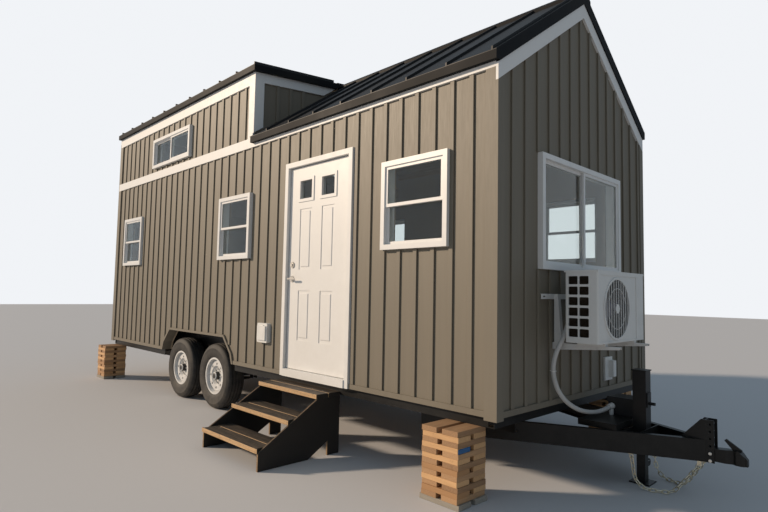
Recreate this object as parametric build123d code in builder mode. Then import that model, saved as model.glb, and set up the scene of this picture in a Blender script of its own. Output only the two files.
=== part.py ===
"""Tiny house on wheels: a framed house on a tandem-axle trailer, standing on timber cribs."""
import os
from math import cos, radians, sin, tan

from build123d import *

# Body of the house. The hitch end is at +X, the door side at -Y and the ground at Z = 0
body_length = 7390
body_width = 2590
base_z = 580
wall = 120
floor_depth = 60
loft_z = 2790
loft_depth = 120

# Roof: a steep gable over the hitch end and two shed dormers behind it
eave_z = 3120
eave_overhang = 60
ridge_z = 4080
deck_depth = 122
pan = 5
dormer_length = 4170
dormer_eave_z = 3945
dormer_deck_depth = 100
seam_pitch = 410
seam_height = 25
seam_width = 14
rake_projection = 30
fascia_height = 70
flashing_height = 103
cap_width = 220
cap_rise = 30

# Trim
trim = 20
frieze_low_z = 3010
frieze_height = 110
dormer_frieze_z = 3740
rake_board_height = 127
corner_width = 85
corner_drop = 18
base_trim_height = 42
dormer_board_width = 100

# Windows, measured back from the hitch face, across from the door face and up from the ground
hung_width = 700
hung_height = 730
hung_z = 2130
hung_backs = [757, 3543, 6645]
slider_width = 1200
slider_height = 425
slider_back = 5380
slider_z = 3385
gable_window_width = 1430
gable_window_height = 892
gable_window_y = 1260
gable_window_z = 2062
window_proud = 45
window_depth = 80
window_rail = 42
window_lap = 15
glass = 6
sash_step = 26

# Entry door, hinged on the hitch side and opening outwards
door_width = 914
door_height = 1990
door_thick = 44
door_back = 2011
door_gap = 9
door_bottom_gap = 5
door_recess = 5
casing_width = 50
casing_proud = 30
jamb = 20
sill_height = 70
sill_proud = 40
panel_depth = 6
lite = 150
pin_radius = 4
knuckle_radius = 6.5
knuckle_height = 30
hinge_offsets = [-780, 0, 780]
running_gap = 0.3

# Trailer frame
rail_height = 76
rail_width = 50
steel = 8
rail_inset = 30
beam_height = 165
beam_y = 930
cross_pitch = 610
tongue_height = 152
tongue_reach = 912
tongue_angle = 25
tongue_nose_gap = 45
mount_height = 295
mount_width = 90
mount_flange = 52
coupler_length = 253
coupler_height = 86

# Running gear
tyre_radius = 385
tyre_width = 225
rim_radius = 203
wheel_inset = 20
axle_backs = [4000, 4910]
arch_back = 4455
arch_base = 946
arch_knee = 903
arch_top = 731
arch_knee_rise = 110
arch_rise = 286
well_depth = 300
well_sheet = 18
axle_radius = 29
spindle_radius = 22
spring_width = 45
leaf_thick = 9
leaf_count = 4

# Tongue jack
jack_size = 100
jack_wall = 6
jack_top_z = 857
jack_low_z = 350
jack_forward = 467
leg_size = 64
leg_length = 620
leg_gap = 0.5
leg_wall = 6
foot_size = 150
foot_thick = 10
collar_height = 70

# Steps and cribs
step_width = 920
step_back = 2115
step_rise = 177
step_run = 285
step_reach = 805
tread_thick = 38
stringer_thick = 19
tread_gap = 6
crib_size = 320
crib_board = 140
crib_base = 350
crib_layers = 14
crib_backs = [290, 7150]
crib_outs = (240, 60)

# Condenser
cabinet_width = 835
cabinet_height = 520
cabinet_depth = 250
cabinet_sheet = 12
cabinet_y = 600
cabinet_low_z = 1080
cabinet_gap = 190
fan_radius = 228
fan_offset = 330
arm_width = 40
arm_length = 520

# Line set between the condenser and the tongue, and the safety chains
hose_radius = 17.5
chain_bar = 8
chain_round = 12
chain_straight = 24

# Places worked out from the sizes above
rear_reach = body_length + rake_projection
coupler_reach = tongue_reach + coupler_length
hitch_x = (rear_reach - coupler_reach) / 2
rear_x = hitch_x - body_length
dormer_x = rear_x + dormer_length
far_reach = body_width + eave_overhang
door_y = -(far_reach - step_reach) / 2
far_y = door_y + body_width
mid_y = door_y + body_width / 2
half = body_width / 2
main_slope = (ridge_z - eave_z) / (half + eave_overhang)
dormer_slope = (ridge_z - dormer_eave_z) / (half + eave_overhang)
plate_z = eave_z + eave_overhang * main_slope - pan - deck_depth
dormer_plate_z = dormer_eave_z + eave_overhang * dormer_slope - pan - dormer_deck_depth
floor_z = base_z + floor_depth
rail_low_z = base_z - rail_height
beam_low_z = base_z - beam_height
front_length = body_length - dormer_length

door_side = Plane(origin=(0, door_y, 0), x_dir=(1, 0, 0), z_dir=(0, -1, 0))
hitch_side = Plane(origin=(hitch_x, mid_y, 0), x_dir=(0, 1, 0), z_dir=(1, 0, 0))
rear_side = Plane(origin=(rear_x, mid_y, 0), x_dir=(0, 1, 0), z_dir=(1, 0, 0))
long_mid = Plane(origin=(0, mid_y, 0), x_dir=(1, 0, 0), z_dir=(0, 1, 0))

os.makedirs("parts", exist_ok=True)


def save(builder, name):
    builder.part.label = name
    export_step(builder.part, f"parts/{name}.step")


def block(x0, x1, y0, y1, z0, z1, mode=Mode.ADD):
    """A box between two corners, joined to the part being built."""
    with Locations(((x0 + x1) / 2, (y0 + y1) / 2, (z0 + z1) / 2)):
        Box(x1 - x0, y1 - y0, z1 - z0, mode=mode)


def bar_ring(radius, bar, sides=10):
    """A ring of thin bar round the XY plane's origin, drawn with flats."""
    with BuildPart() as ring:
        with BuildLine() as loop:
            Polyline(*[(radius * cos(radians(360 * i / sides)), radius * sin(radians(360 * i / sides)))
                       for i in range(sides)], close=True)
        wire = loop.wires()[0]
        with BuildSketch(Plane(origin=wire @ (0.5 / sides), x_dir=(0, 0, 1), z_dir=wire % (0.5 / sides))):
            RegularPolygon(bar, 6)
        sweep(path=wire, transition=Transition.RIGHT)
    return ring.part


# Walls
door_x = hitch_x - door_back
door_half = door_width / 2 + door_gap
door_rough = door_half + jamb
door_head_z = base_z + sill_height + door_bottom_gap + door_height + door_gap
arch_x = hitch_x - arch_back


def cut_windows(plane, centres, width, height):
    """Window openings through a wall that lies on a plane."""
    with BuildSketch(plane) as openings:
        with Locations(*centres):
            Rectangle(width - 2 * window_lap, height - 2 * window_lap)
    extrude(openings.sketch, amount=-wall, mode=Mode.SUBTRACT)


def cut_arch():
    """The wheel arch through the door-side wall."""
    with BuildSketch(door_side) as arch:
        with BuildLine():
            Polyline(
                (arch_x - arch_base, base_z),
                (arch_x - arch_knee, base_z + arch_knee_rise),
                (arch_x - arch_top, base_z + arch_rise),
                (arch_x + arch_top, base_z + arch_rise),
                (arch_x + arch_knee, base_z + arch_knee_rise),
                (arch_x + arch_base, base_z),
                close=True,
            )
        make_face()
    extrude(arch.sketch, amount=-wall, mode=Mode.SUBTRACT)


hung_xs = [hitch_x - back for back in hung_backs]
wall_front_x = hitch_x - wall
wall_rear_x = rear_x + wall

with BuildPart() as door_wall_front:
    block(door_x + door_rough, wall_front_x, door_y, door_y + wall, base_z, plate_z)
    cut_windows(door_side, [(hung_xs[0], hung_z)], hung_width, hung_height)
save(door_wall_front, "door_wall_front")

with BuildPart() as door_wall_rear:
    block(wall_rear_x, door_x - door_rough, door_y, door_y + wall, base_z, plate_z)
    cut_windows(door_side, [(x, hung_z) for x in hung_xs[1:]], hung_width, hung_height)
    cut_arch()
save(door_wall_rear, "door_wall_rear")

with BuildPart() as door_wall_header:
    block(door_x - door_rough, door_x + door_rough, door_y, door_y + wall, door_head_z + jamb, plate_z)
save(door_wall_header, "door_wall_header")

with BuildPart() as far_wall:
    block(wall_rear_x, wall_front_x, door_y, door_y + wall, base_z, plate_z)
    cut_windows(door_side, [(x, hung_z) for x in hung_xs], hung_width, hung_height)
    cut_arch()
    mirror(about=long_mid, mode=Mode.REPLACE)
save(far_wall, "far_wall")

with BuildPart() as dormer_walls:
    block(wall_rear_x, dormer_x - wall, door_y, door_y + wall, plate_z, dormer_plate_z)
    cut_windows(door_side, [(hitch_x - slider_back, slider_z)], slider_width, slider_height)
    mirror(about=long_mid)
save(dormer_walls, "dormer_walls")


def gable_outline(low_z, plate, slope):
    """Outline of an end wall that meets the underside of a roof deck."""
    heel_z = plate + wall * slope
    return [
        (-half, low_z),
        (-half, plate),
        (-half + wall, plate),
        (-half + wall, heel_z),
        (0, plate + half * slope),
        (half - wall, heel_z),
        (half - wall, plate),
        (half, plate),
        (half, low_z),
    ]


with BuildPart() as hitch_gable_wall:
    with BuildSketch(hitch_side):
        with BuildLine():
            Polyline(*gable_outline(base_z, plate_z, main_slope), close=True)
        make_face()
    extrude(amount=-wall)
    gable_centre = (gable_window_y - half, gable_window_z)
    cut_windows(hitch_side, [gable_centre], gable_window_width, gable_window_height)
save(hitch_gable_wall, "hitch_gable_wall")

with BuildPart() as rear_gable_wall:
    with BuildSketch(rear_side):
        with BuildLine():
            Polyline(*gable_outline(base_z, dormer_plate_z, dormer_slope), close=True)
        make_face()
    extrude(amount=wall)
save(rear_gable_wall, "rear_gable_wall")

# The cheek of each dormer stands on the main roof deck
deck_line_z = plate_z + deck_depth
cheek_meet = (dormer_plate_z - deck_line_z) / (main_slope - dormer_slope)
cheek_plane = Plane(origin=(dormer_x, mid_y, 0), x_dir=(0, 1, 0), z_dir=(1, 0, 0))

with BuildPart() as dormer_cheeks:
    with BuildSketch(cheek_plane):
        with BuildLine():
            Polyline(
                (-half, deck_line_z),
                (-half, dormer_plate_z),
                (-half + wall, dormer_plate_z),
                (-half + wall, dormer_plate_z + wall * dormer_slope),
                (-half + cheek_meet, deck_line_z + cheek_meet * main_slope),
                close=True,
            )
        make_face()
    extrude(amount=-wall)
    mirror(about=long_mid)
save(dormer_cheeks, "dormer_cheeks")

# Floors
with BuildPart() as floor_deck:
    block(wall_rear_x, wall_front_x, door_y + wall, far_y - wall, base_z, floor_z)
    for side in (-1, 1):
        well_y = mid_y + side * (half - (wall + well_depth) / 2)
        with Locations((arch_x, well_y, base_z + floor_depth / 2)):
            Box(2 * arch_base, well_depth - wall, floor_depth, mode=Mode.SUBTRACT)
save(floor_deck, "floor_deck")

with BuildPart() as loft_floor:
    block(wall_rear_x, dormer_x - wall, door_y + wall, far_y - wall, loft_z, loft_z + loft_depth)
save(loft_floor, "loft_floor")

with BuildPart() as wheel_wells:
    well_top_z = base_z + arch_rise + well_sheet
    block(arch_x - arch_base, arch_x + arch_base, door_y + wall, door_y + well_depth, base_z, well_top_z)
    block(
        arch_x - arch_base + well_sheet,
        arch_x + arch_base - well_sheet,
        door_y + wall,
        door_y + well_depth - well_sheet,
        base_z,
        well_top_z - well_sheet,
        mode=Mode.SUBTRACT,
    )
    mirror(about=long_mid)
save(wheel_wells, "wheel_wells")


# Roof
def deck_outline(plate, slope, depth):
    """Half outline of a roof deck with the seat that rests on the side wall."""
    return [
        (-half, plate),
        (-half + wall, plate),
        (-half + wall, plate + wall * slope),
        (0, plate + half * slope),
        (0, plate + depth + half * slope),
        (-half, plate + depth),
    ]


with BuildPart() as main_roof_deck:
    with BuildSketch(hitch_side):
        with BuildLine():
            Polyline(*deck_outline(plate_z, main_slope, deck_depth), close=True)
        make_face()
    extrude(amount=-(front_length + wall))
    mirror(about=long_mid)
save(main_roof_deck, "main_roof_deck")

with BuildPart() as dormer_roof_deck:
    with BuildSketch(rear_side):
        with BuildLine():
            Polyline(*deck_outline(dormer_plate_z, dormer_slope, dormer_deck_depth), close=True)
        make_face()
        # The main roof deck runs in below this one up to the ridge
        with BuildLine():
            Polyline(*deck_outline(plate_z, main_slope, deck_depth), close=True)
        make_face(mode=Mode.SUBTRACT)
    extrude(amount=dormer_length)
    mirror(about=long_mid)
save(dormer_roof_deck, "dormer_roof_deck")


def roofing_outline(low_z, slope):
    """Outline of the roofing sheet on the door-side slope."""
    return [
        (-half - eave_overhang, low_z - pan),
        (-half - eave_overhang, low_z),
        (0, ridge_z),
        (0, ridge_z - pan),
    ]


def roofing(plane, length, low_z, slope, seam_xs):
    """Roofing sheet of one slope with its standing seams, mirrored to the other slope."""
    with BuildSketch(plane) as sheet:
        with BuildLine():
            Polyline(*roofing_outline(low_z, slope), close=True)
        make_face()
    extrude(sheet.sketch, amount=length)
    run = half + eave_overhang
    for x in seam_xs:
        seam_plane = Plane(origin=(x, mid_y, 0), x_dir=(0, 1, 0), z_dir=(1, 0, 0))
        with BuildSketch(seam_plane) as seam:
            with BuildLine():
                Polyline(
                    (-run, low_z - pan / 2),
                    (-run, low_z + seam_height),
                    (-cap_width / 2, low_z + seam_height + (run - cap_width / 2) * slope),
                    (-cap_width / 2, low_z + (run - cap_width / 2) * slope - pan / 2),
                    close=True,
                )
            make_face()
        extrude(seam.sketch, amount=seam_width / 2, both=True)
    mirror(about=long_mid)


main_seams = [hitch_x - seam_width / 2 - i * seam_pitch for i in range(int(front_length // seam_pitch) + 1)]
dormer_seams = [
    dormer_x + eave_overhang - seam_width / 2 - i * seam_pitch
    for i in range(int((dormer_length + eave_overhang) // seam_pitch) + 1)
]

with BuildPart() as main_roofing:
    main_start = Plane(origin=(dormer_x, mid_y, 0), x_dir=(0, 1, 0), z_dir=(1, 0, 0))
    roofing(main_start, front_length + rake_projection, eave_z, main_slope, main_seams)
save(main_roofing, "main_roofing")

with BuildPart() as dormer_roofing:
    dormer_start = Plane(origin=(rear_x - rake_projection, mid_y, 0), x_dir=(0, 1, 0), z_dir=(1, 0, 0))
    dormer_sheet = dormer_length + rake_projection + eave_overhang
    roofing(dormer_start, dormer_sheet, dormer_eave_z, dormer_slope, dormer_seams)
    # The part that hangs past the cheeks stays clear of the main roof below it
    block(dormer_x, dormer_x + eave_overhang, mid_y - cap_width, mid_y + cap_width, eave_z, ridge_z + cap_width,
          mode=Mode.SUBTRACT)
save(dormer_roofing, "dormer_roofing")


def cap_outline(slope):
    """Outline of the ridge cap and the closure strips below it, down to the roofing."""
    low = ridge_z - cap_width / 2 * slope
    return [
        (-cap_width / 2, low),
        (-cap_width / 2, low + cap_rise),
        (0, ridge_z + cap_rise),
        (cap_width / 2, low + cap_rise),
        (cap_width / 2, low),
        (0, ridge_z),
    ]


with BuildPart() as ridge_cap:
    with BuildSketch(main_start):
        with BuildLine():
            Polyline(*cap_outline(main_slope), close=True)
        make_face()
    extrude(amount=front_length + rake_projection)
    with BuildSketch(dormer_start):
        with BuildLine():
            Polyline(*cap_outline(dormer_slope), close=True)
        make_face()
    extrude(amount=dormer_length + rake_projection)
save(ridge_cap, "ridge_cap")


def eave_fascia(x0, x1, low_z, slope):
    """Fascia under the roofing edge, in front of the frieze board, on both long sides."""
    with BuildSketch(Plane(origin=(x0, mid_y, 0), x_dir=(0, 1, 0), z_dir=(1, 0, 0))) as section:
        with BuildLine():
            Polyline(
                (-half - eave_overhang, low_z - fascia_height),
                (-half - eave_overhang, low_z - pan),
                (-half - trim, low_z - pan + (eave_overhang - trim) * slope),
                (-half - trim, low_z - fascia_height),
                close=True,
            )
        make_face()
    extrude(section.sketch, amount=x1 - x0)


def rake_outline(low_z, slope, drop, depth, out):
    """Half outline of a board or flashing that follows a roof edge down from the ridge."""
    top_z = low_z - pan - drop
    reach = half + out
    rise = (eave_overhang - out) * slope
    return [
        (-reach, top_z + rise - depth),
        (-reach, top_z + rise),
        (0, ridge_z - pan - drop),
        (0, ridge_z - pan - drop - depth),
    ]


def rake(plane, low_z, slope, drop, depth, out, thick):
    """A pair of rake boards or flashings on an end wall."""
    with BuildSketch(plane) as board:
        with BuildLine():
            Polyline(*rake_outline(low_z, slope, drop, depth, out), close=True)
        make_face()
        mirror(about=Plane.YZ)
    extrude(board.sketch, amount=thick)


def slab(plane, x0, x1, z0, z1, d0, d1, mode=Mode.ADD):
    """A box drawn on a wall: along it, up it and out from it."""
    with Locations(plane):
        with Locations(((x0 + x1) / 2, (z0 + z1) / 2, (d0 + d1) / 2)):
            Box(x1 - x0, z1 - z0, d1 - d0, mode=mode)


# Flashings and white trim
frieze_top_z = frieze_low_z + frieze_height
dormer_frieze_top_z = dormer_eave_z - pan

# The boards on each cheek stop above the seams of the main roof
cheek_low_z = eave_z + seam_height
rear_flashing = flashing_height - fascia_height + pan
rear_out = Plane(origin=(rear_x, mid_y, 0), x_dir=(0, -1, 0), z_dir=(-1, 0, 0))


def main_top(y):
    """Height just above the main roof seams, at a place across from the middle."""
    return cheek_low_z + (y + half + eave_overhang) * main_slope


def dormer_under(y, drop):
    """Height a given drop below the dormer roofing, at a place across from the middle."""
    return dormer_eave_z - pan - drop + (y + half + eave_overhang) * dormer_slope


def meeting(drop):
    """Place across where that dormer line comes down to the main roof seams."""
    gap = dormer_under(0, drop) - main_top(0)
    return -gap / (dormer_slope - main_slope)


with BuildPart() as roof_flashing:
    eave_fascia(dormer_x + trim, hitch_x + rake_projection, eave_z, main_slope)
    eave_fascia(rear_x - rake_projection, dormer_x + eave_overhang, dormer_eave_z, dormer_slope)
    mirror(about=long_mid)
    rake(hitch_side, eave_z, main_slope, 0, flashing_height, trim, rake_projection)
    rake(rear_out, dormer_eave_z, dormer_slope, 0, rear_flashing, trim, rake_projection)
    # Flashing over each cheek, from the eave to the ridge cap
    cap_edge = -cap_width / 2 - 1
    with BuildSketch(cheek_plane):
        with BuildLine():
            Polyline(
                (-half - trim, dormer_under(-half - trim, fascia_height)),
                (-half - trim, dormer_under(-half - trim, 0)),
                (cap_edge, dormer_under(cap_edge, 0)),
                (cap_edge, main_top(cap_edge)),
                (meeting(fascia_height), main_top(meeting(fascia_height))),
                close=True,
            )
        make_face()
        mirror(about=Plane.YZ)
    extrude(amount=eave_overhang)
save(roof_flashing, "roof_flashing")

with BuildPart() as white_trim:
    slab(door_side, rear_x, hitch_x, frieze_low_z, frieze_top_z, 0, trim)
    slab(door_side, rear_x, dormer_x, dormer_frieze_z, dormer_frieze_top_z, 0, trim)
    slab(door_side, dormer_x - dormer_board_width, dormer_x, frieze_top_z, dormer_frieze_z, 0, trim)
    mirror(about=long_mid)
    rake(hitch_side, eave_z, main_slope, flashing_height, rake_board_height, trim, trim)
    rake(rear_out, dormer_eave_z, dormer_slope, rear_flashing, frieze_height, trim, trim)
    inner = -half + dormer_board_width
    low = fascia_height + frieze_height
    with BuildSketch(cheek_plane):
        with BuildLine():
            Polyline(
                (-half - trim, main_top(-half - trim)),
                (-half - trim, dormer_under(-half - trim, fascia_height)),
                (meeting(fascia_height), main_top(meeting(fascia_height))),
                (meeting(low), main_top(meeting(low))),
                (inner, dormer_under(inner, low)),
                (inner, main_top(inner)),
                close=True,
            )
        make_face()
        mirror(about=Plane.YZ)
    extrude(amount=trim)
save(white_trim, "white_trim")

# Siding-coloured corner posts and base trim
hitch_post_top = eave_z - pan - flashing_height - rake_board_height + (eave_overhang - trim) * main_slope
rear_post_top = dormer_eave_z - pan - rear_flashing - frieze_height + (eave_overhang - trim) * dormer_slope
post_low_z = base_z - corner_drop
inner_leg = corner_width - trim

with BuildPart() as corner_posts:
    slab(door_side, hitch_x - corner_width, hitch_x, post_low_z, frieze_low_z, 0, trim)
    slab(door_side, rear_x, rear_x + corner_width, post_low_z, frieze_low_z, 0, trim)
    slab(door_side, rear_x, rear_x + corner_width, frieze_top_z, dormer_frieze_z, 0, trim)
    ends = ((hitch_side, hitch_post_top, main_slope, trim), (rear_side, rear_post_top, dormer_slope, -trim))
    for plane, top, slope, thick in ends:
        with BuildSketch(plane):
            with BuildLine():
                Polyline(
                    (-half - trim, post_low_z),
                    (-half - trim, top),
                    (-half + inner_leg, top + corner_width * slope),
                    (-half + inner_leg, post_low_z),
                    close=True,
                )
            make_face()
        extrude(amount=thick)
    mirror(about=long_mid)
save(corner_posts, "corner_posts")

# Base trim between the corner posts, the arch and the door, and the trim round each arch
base_trim_thick = 15
arch_trim = 28
mitre_gap = 0.4
base_top_z = base_z + base_trim_height


def arch_outline(out):
    """The wheel arch grown by a width, as points along the wall and up it."""
    return [
        (arch_x - arch_base - out, base_z),
        (arch_x - arch_knee - out, base_z + arch_knee_rise + out / 3),
        (arch_x - arch_top - out / 2, base_z + arch_rise + out),
        (arch_x + arch_top + out / 2, base_z + arch_rise + out),
        (arch_x + arch_knee + out, base_z + arch_knee_rise + out / 3),
        (arch_x + arch_base + out, base_z),
    ]


def arch_boards():
    """The mitred boards round an arch, each a little short of its neighbours."""
    inner = [Vector(x, z) for x, z in arch_outline(0)]
    outer = [Vector(x, z) for x, z in arch_outline(arch_trim)]
    for i in range(len(inner) - 1):
        step = (inner[i + 1] - inner[i]).normalized() * mitre_gap / 2
        corners = [inner[i] + step, inner[i + 1] - step, outer[i + 1] - step, outer[i] + step]
        yield [(corner.X, corner.Y) for corner in corners]


trim_rear_x = rear_x + corner_width
trim_front_x = hitch_x - corner_width
arch_rear_x = arch_x - arch_base - arch_trim - mitre_gap
arch_front_x = arch_x + arch_base + arch_trim + mitre_gap
casing_half = door_half + casing_width

with BuildPart() as base_trim:
    slab(door_side, trim_rear_x, arch_rear_x, base_z, base_top_z, 0, base_trim_thick)
    slab(door_side, arch_front_x, trim_front_x, base_z, base_top_z, 0, base_trim_thick)
    for corners in arch_boards():
        with BuildSketch(door_side) as board:
            with BuildLine():
                Polyline(*corners, close=True)
            make_face()
        extrude(board.sketch, amount=trim)
    mirror(about=long_mid)
    slab(door_side, door_x - casing_half, door_x + casing_half, base_z, base_top_z, 0, base_trim_thick,
         mode=Mode.SUBTRACT)
    end_half = half - inner_leg
    slab(hitch_side, -end_half, end_half, base_z, base_top_z, 0, base_trim_thick)
    slab(rear_side, -end_half, end_half, base_z, base_top_z, -base_trim_thick, 0)
save(base_trim, "base_trim")

# Windows. Each is a vinyl frame that laps over the siding, with two sashes, one a step deeper
sash_rail = 26
sash_thick = 22
front_sash = window_proud - 12


def window_frame(plane, x, z, width, height, stacked):
    """Frame and sashes of a window, its lower or left sash a step deeper than the other."""
    inner_width = width - 2 * window_rail
    inner_height = height - 2 * window_rail
    body_width_here = width - 2 * window_lap - 2 * running_gap
    body_height_here = height - 2 * window_lap - 2 * running_gap
    slab(plane, x - width / 2, x + width / 2, z - height / 2, z + height / 2, 0, window_proud)
    slab(plane, x - body_width_here / 2, x + body_width_here / 2,
         z - body_height_here / 2, z + body_height_here / 2, -window_depth, 0)
    slab(plane, x - inner_width / 2, x + inner_width / 2, z - inner_height / 2, z + inner_height / 2,
         -window_depth, window_proud, mode=Mode.SUBTRACT)
    for lower in (False, True):
        x0, x1, z0, z1 = sash_box(x, z, inner_width, inner_height, stacked, lower)
        out = front_sash - (sash_step if lower else 0)
        slab(plane, x0, x1, z0, z1, out - sash_thick, out)
        slab(plane, x0 + sash_rail, x1 - sash_rail, z0 + sash_rail, z1 - sash_rail, out - sash_thick, out,
             mode=Mode.SUBTRACT)


def sash_box(x, z, width, height, stacked, lower):
    """Edges of one sash: the lower or left half of the frame, or the other half."""
    lap = sash_rail / 2
    if stacked and lower:
        return x - width / 2, x + width / 2, z - height / 2, z + lap
    if stacked:
        return x - width / 2, x + width / 2, z - lap, z + height / 2
    if lower:
        return x - width / 2, x + lap, z - height / 2, z + height / 2
    return x - lap, x + width / 2, z - height / 2, z + height / 2


def window_panes(plane, x, z, width, height, stacked):
    """Two sheets of glass, each filling its sash."""
    for lower in (False, True):
        box = sash_box(x, z, width - 2 * window_rail, height - 2 * window_rail, stacked, lower)
        x0, x1, z0, z1 = box
        out = front_sash - (sash_step if lower else 0) - (sash_thick - glass) / 2
        slab(plane, x0 + sash_rail, x1 - sash_rail, z0 + sash_rail, z1 - sash_rail, out - glass, out)


slider_x = hitch_x - slider_back

with BuildPart() as window_frames:
    for x in hung_xs:
        window_frame(door_side, x, hung_z, hung_width, hung_height, True)
    window_frame(door_side, slider_x, slider_z, slider_width, slider_height, False)
    mirror(about=long_mid)
    window_frame(hitch_side, *gable_centre, gable_window_width, gable_window_height, False)
save(window_frames, "window_frames")

with BuildPart() as window_glass:
    for x in hung_xs:
        window_panes(door_side, x, hung_z, hung_width, hung_height, True)
    window_panes(door_side, slider_x, slider_z, slider_width, slider_height, False)
    mirror(about=long_mid)
    window_panes(hitch_side, *gable_centre, gable_window_width, gable_window_height, False)
save(window_glass, "window_glass")

# Entry door
door_low_z = base_z + sill_height + door_bottom_gap
door_top_z = door_low_z + door_height
sill_z = base_z + sill_height
door_front = -door_recess
door_back_face = -door_recess - door_thick
stop_gap = 5
stop_size = 18
door_left_x = door_x - door_width / 2
door_right_x = door_x + door_width / 2
pin_x = door_right_x + 1
pin_out = door_front + knuckle_radius + 1.5

with BuildPart() as door_casing:
    slab(door_side, door_x - casing_half, door_x + casing_half, base_z, door_head_z + casing_width, 0, casing_proud)
    slab(door_side, door_x - door_rough, door_x + door_rough, base_z, door_head_z + jamb, -wall, 0)
    slab(door_side, door_x - door_half, door_x + door_half, sill_z, door_head_z, -wall, casing_proud,
         mode=Mode.SUBTRACT)
    stop_front = door_back_face - stop_gap
    slab(door_side, door_x - door_half, door_x + door_half, sill_z, door_head_z, stop_front - stop_size, stop_front)
    slab(door_side, door_x - door_half + stop_size, door_x + door_half - stop_size, sill_z,
         door_head_z - stop_size, stop_front - stop_size, stop_front, mode=Mode.SUBTRACT)
    slab(door_side, door_x - door_half, door_x + door_half, base_z, sill_z, casing_proud, sill_proud)
save(door_casing, "door_casing")

# Raised panels and lights of the slab, as left edge, right edge, low edge and top edge
panel_columns = [(165, 355), (510, 700)]
panel_rows = [(280, 765), (970, door_height - 420)]
lite_top = door_height - 140
lite_low = lite_top - 180
lite_frame = 30
lite_proud = 8
bead = 26
panel_taper = 50


def door_slab_box(left, right, low, top, d0, d1, mode=Mode.ADD):
    """A box on the door slab, between two of its edges and two depths."""
    x0, x1 = door_left_x + left, door_left_x + right
    slab(door_side, x0, x1, door_low_z + low, door_low_z + top, d0, d1, mode=mode)


def raised_panel(left, right, low, top, out, way):
    """A recess in one face of the slab and, inside it, a field with sloping edges."""
    place = (door_left_x + (left + right) / 2, door_low_z + (low + top) / 2)
    face = Plane(origin=(0, door_y - out, 0), x_dir=(1, 0, 0), z_dir=(0, -way, 0))
    height = place[1] * way
    with BuildSketch(face) as recess:
        with Locations((place[0], height)):
            Rectangle(right - left, top - low)
    extrude(recess.sketch, amount=-panel_depth, mode=Mode.SUBTRACT)
    with BuildSketch(face.offset(-panel_depth)) as field:
        with Locations((place[0], height)):
            Rectangle(right - left - 2 * bead, top - low - 2 * bead)
    extrude(field.sketch, amount=panel_depth, taper=panel_taper)


with BuildPart() as entry_door:
    door_slab_box(0, door_width, 0, door_height, door_back_face, door_front)
    for left, right in panel_columns:
        for low, top in panel_rows:
            raised_panel(left, right, low, top, door_front, 1)
            raised_panel(left, right, low, top, door_back_face, -1)
        door_slab_box(left - lite_frame, right + lite_frame, lite_low - lite_frame, lite_top + lite_frame,
                      door_front, door_front + lite_proud)
        door_slab_box(left, right, lite_low, lite_top, door_back_face, door_front + lite_proud, mode=Mode.SUBTRACT)
save(entry_door, "entry_door")

with BuildPart() as door_glass:
    middle = (door_front + door_back_face) / 2
    for left, right in panel_columns:
        door_slab_box(left, right, lite_low, lite_top, middle - glass / 2, middle + glass / 2)
save(door_glass, "door_glass")

# Hinges: the pin and outer knuckles are fixed to the frame, the middle knuckle to the slab
door_mid_z = (door_low_z + door_top_z) / 2
hinge_zs = [door_mid_z + offset for offset in hinge_offsets]
leaf_sheet = 2
knuckle_gap = 1

with BuildPart() as hinge_pins:
    for z in hinge_zs:
        with Locations(door_side):
            with Locations((pin_x, z, pin_out)):
                Cylinder(pin_radius, 3 * knuckle_height, rotation=(90, 0, 0))
            with Locations(*[(pin_x, z + side * knuckle_height, pin_out) for side in (-1, 1)]):
                Cylinder(knuckle_radius, knuckle_height - 2 * knuckle_gap, rotation=(90, 0, 0))
        for side in (-1, 1):
            z_mid = z + side * knuckle_height
            reach = knuckle_height / 2 - knuckle_gap
            slab(door_side, pin_x + knuckle_radius - 1, door_x + door_half, z_mid - reach, z_mid + reach,
                 pin_out - leaf_sheet, pin_out)
save(hinge_pins, "hinge_pins")

with BuildPart() as hinge_knuckles:
    for z in hinge_zs:
        reach = knuckle_height / 2 - knuckle_gap
        slab(door_side, door_right_x - 12, pin_x, z - reach, z + reach, door_front, pin_out)
        with Locations(door_side):
            with Locations((pin_x, z, pin_out)):
                Cylinder(knuckle_radius, 2 * reach, rotation=(90, 0, 0))
                Cylinder(pin_radius + running_gap, 2 * reach, rotation=(90, 0, 0), mode=Mode.SUBTRACT)
save(hinge_knuckles, "hinge_knuckles")

# Lever and deadbolt on the latch side of the slab
latch_in = 62
lever_up = 880
bolt_up = 1020
rose_radius = 32
rose_thick = 12
spindle = 9
lever_length = 115
lever_out = 55
lever_z = door_low_z + lever_up
latch_x = door_left_x + latch_in

with BuildPart() as door_lock:
    for out, way in ((door_front, 1), (door_back_face, -1)):
        for up in (lever_up, bolt_up):
            face = Plane(origin=(latch_x, door_y - out, door_low_z + up), x_dir=(1, 0, 0), z_dir=(0, -way, 0))
            with BuildSketch(face) as rose:
                Circle(rose_radius)
            extrude(rose.sketch, amount=rose_thick, taper=12)
    with Locations(door_side):
        with Locations((latch_x, lever_z, door_front)):
            Cylinder(spindle + running_gap, 4 * rose_thick, mode=Mode.SUBTRACT)
    for out, way in ((door_front + rose_thick, 1), (door_back_face - rose_thick, -1)):
        with Locations(door_side):
            with Locations((latch_x, door_low_z + bolt_up, out)):
                Cylinder(rose_radius / 2, rose_thick)
save(door_lock, "door_lock")

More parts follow.
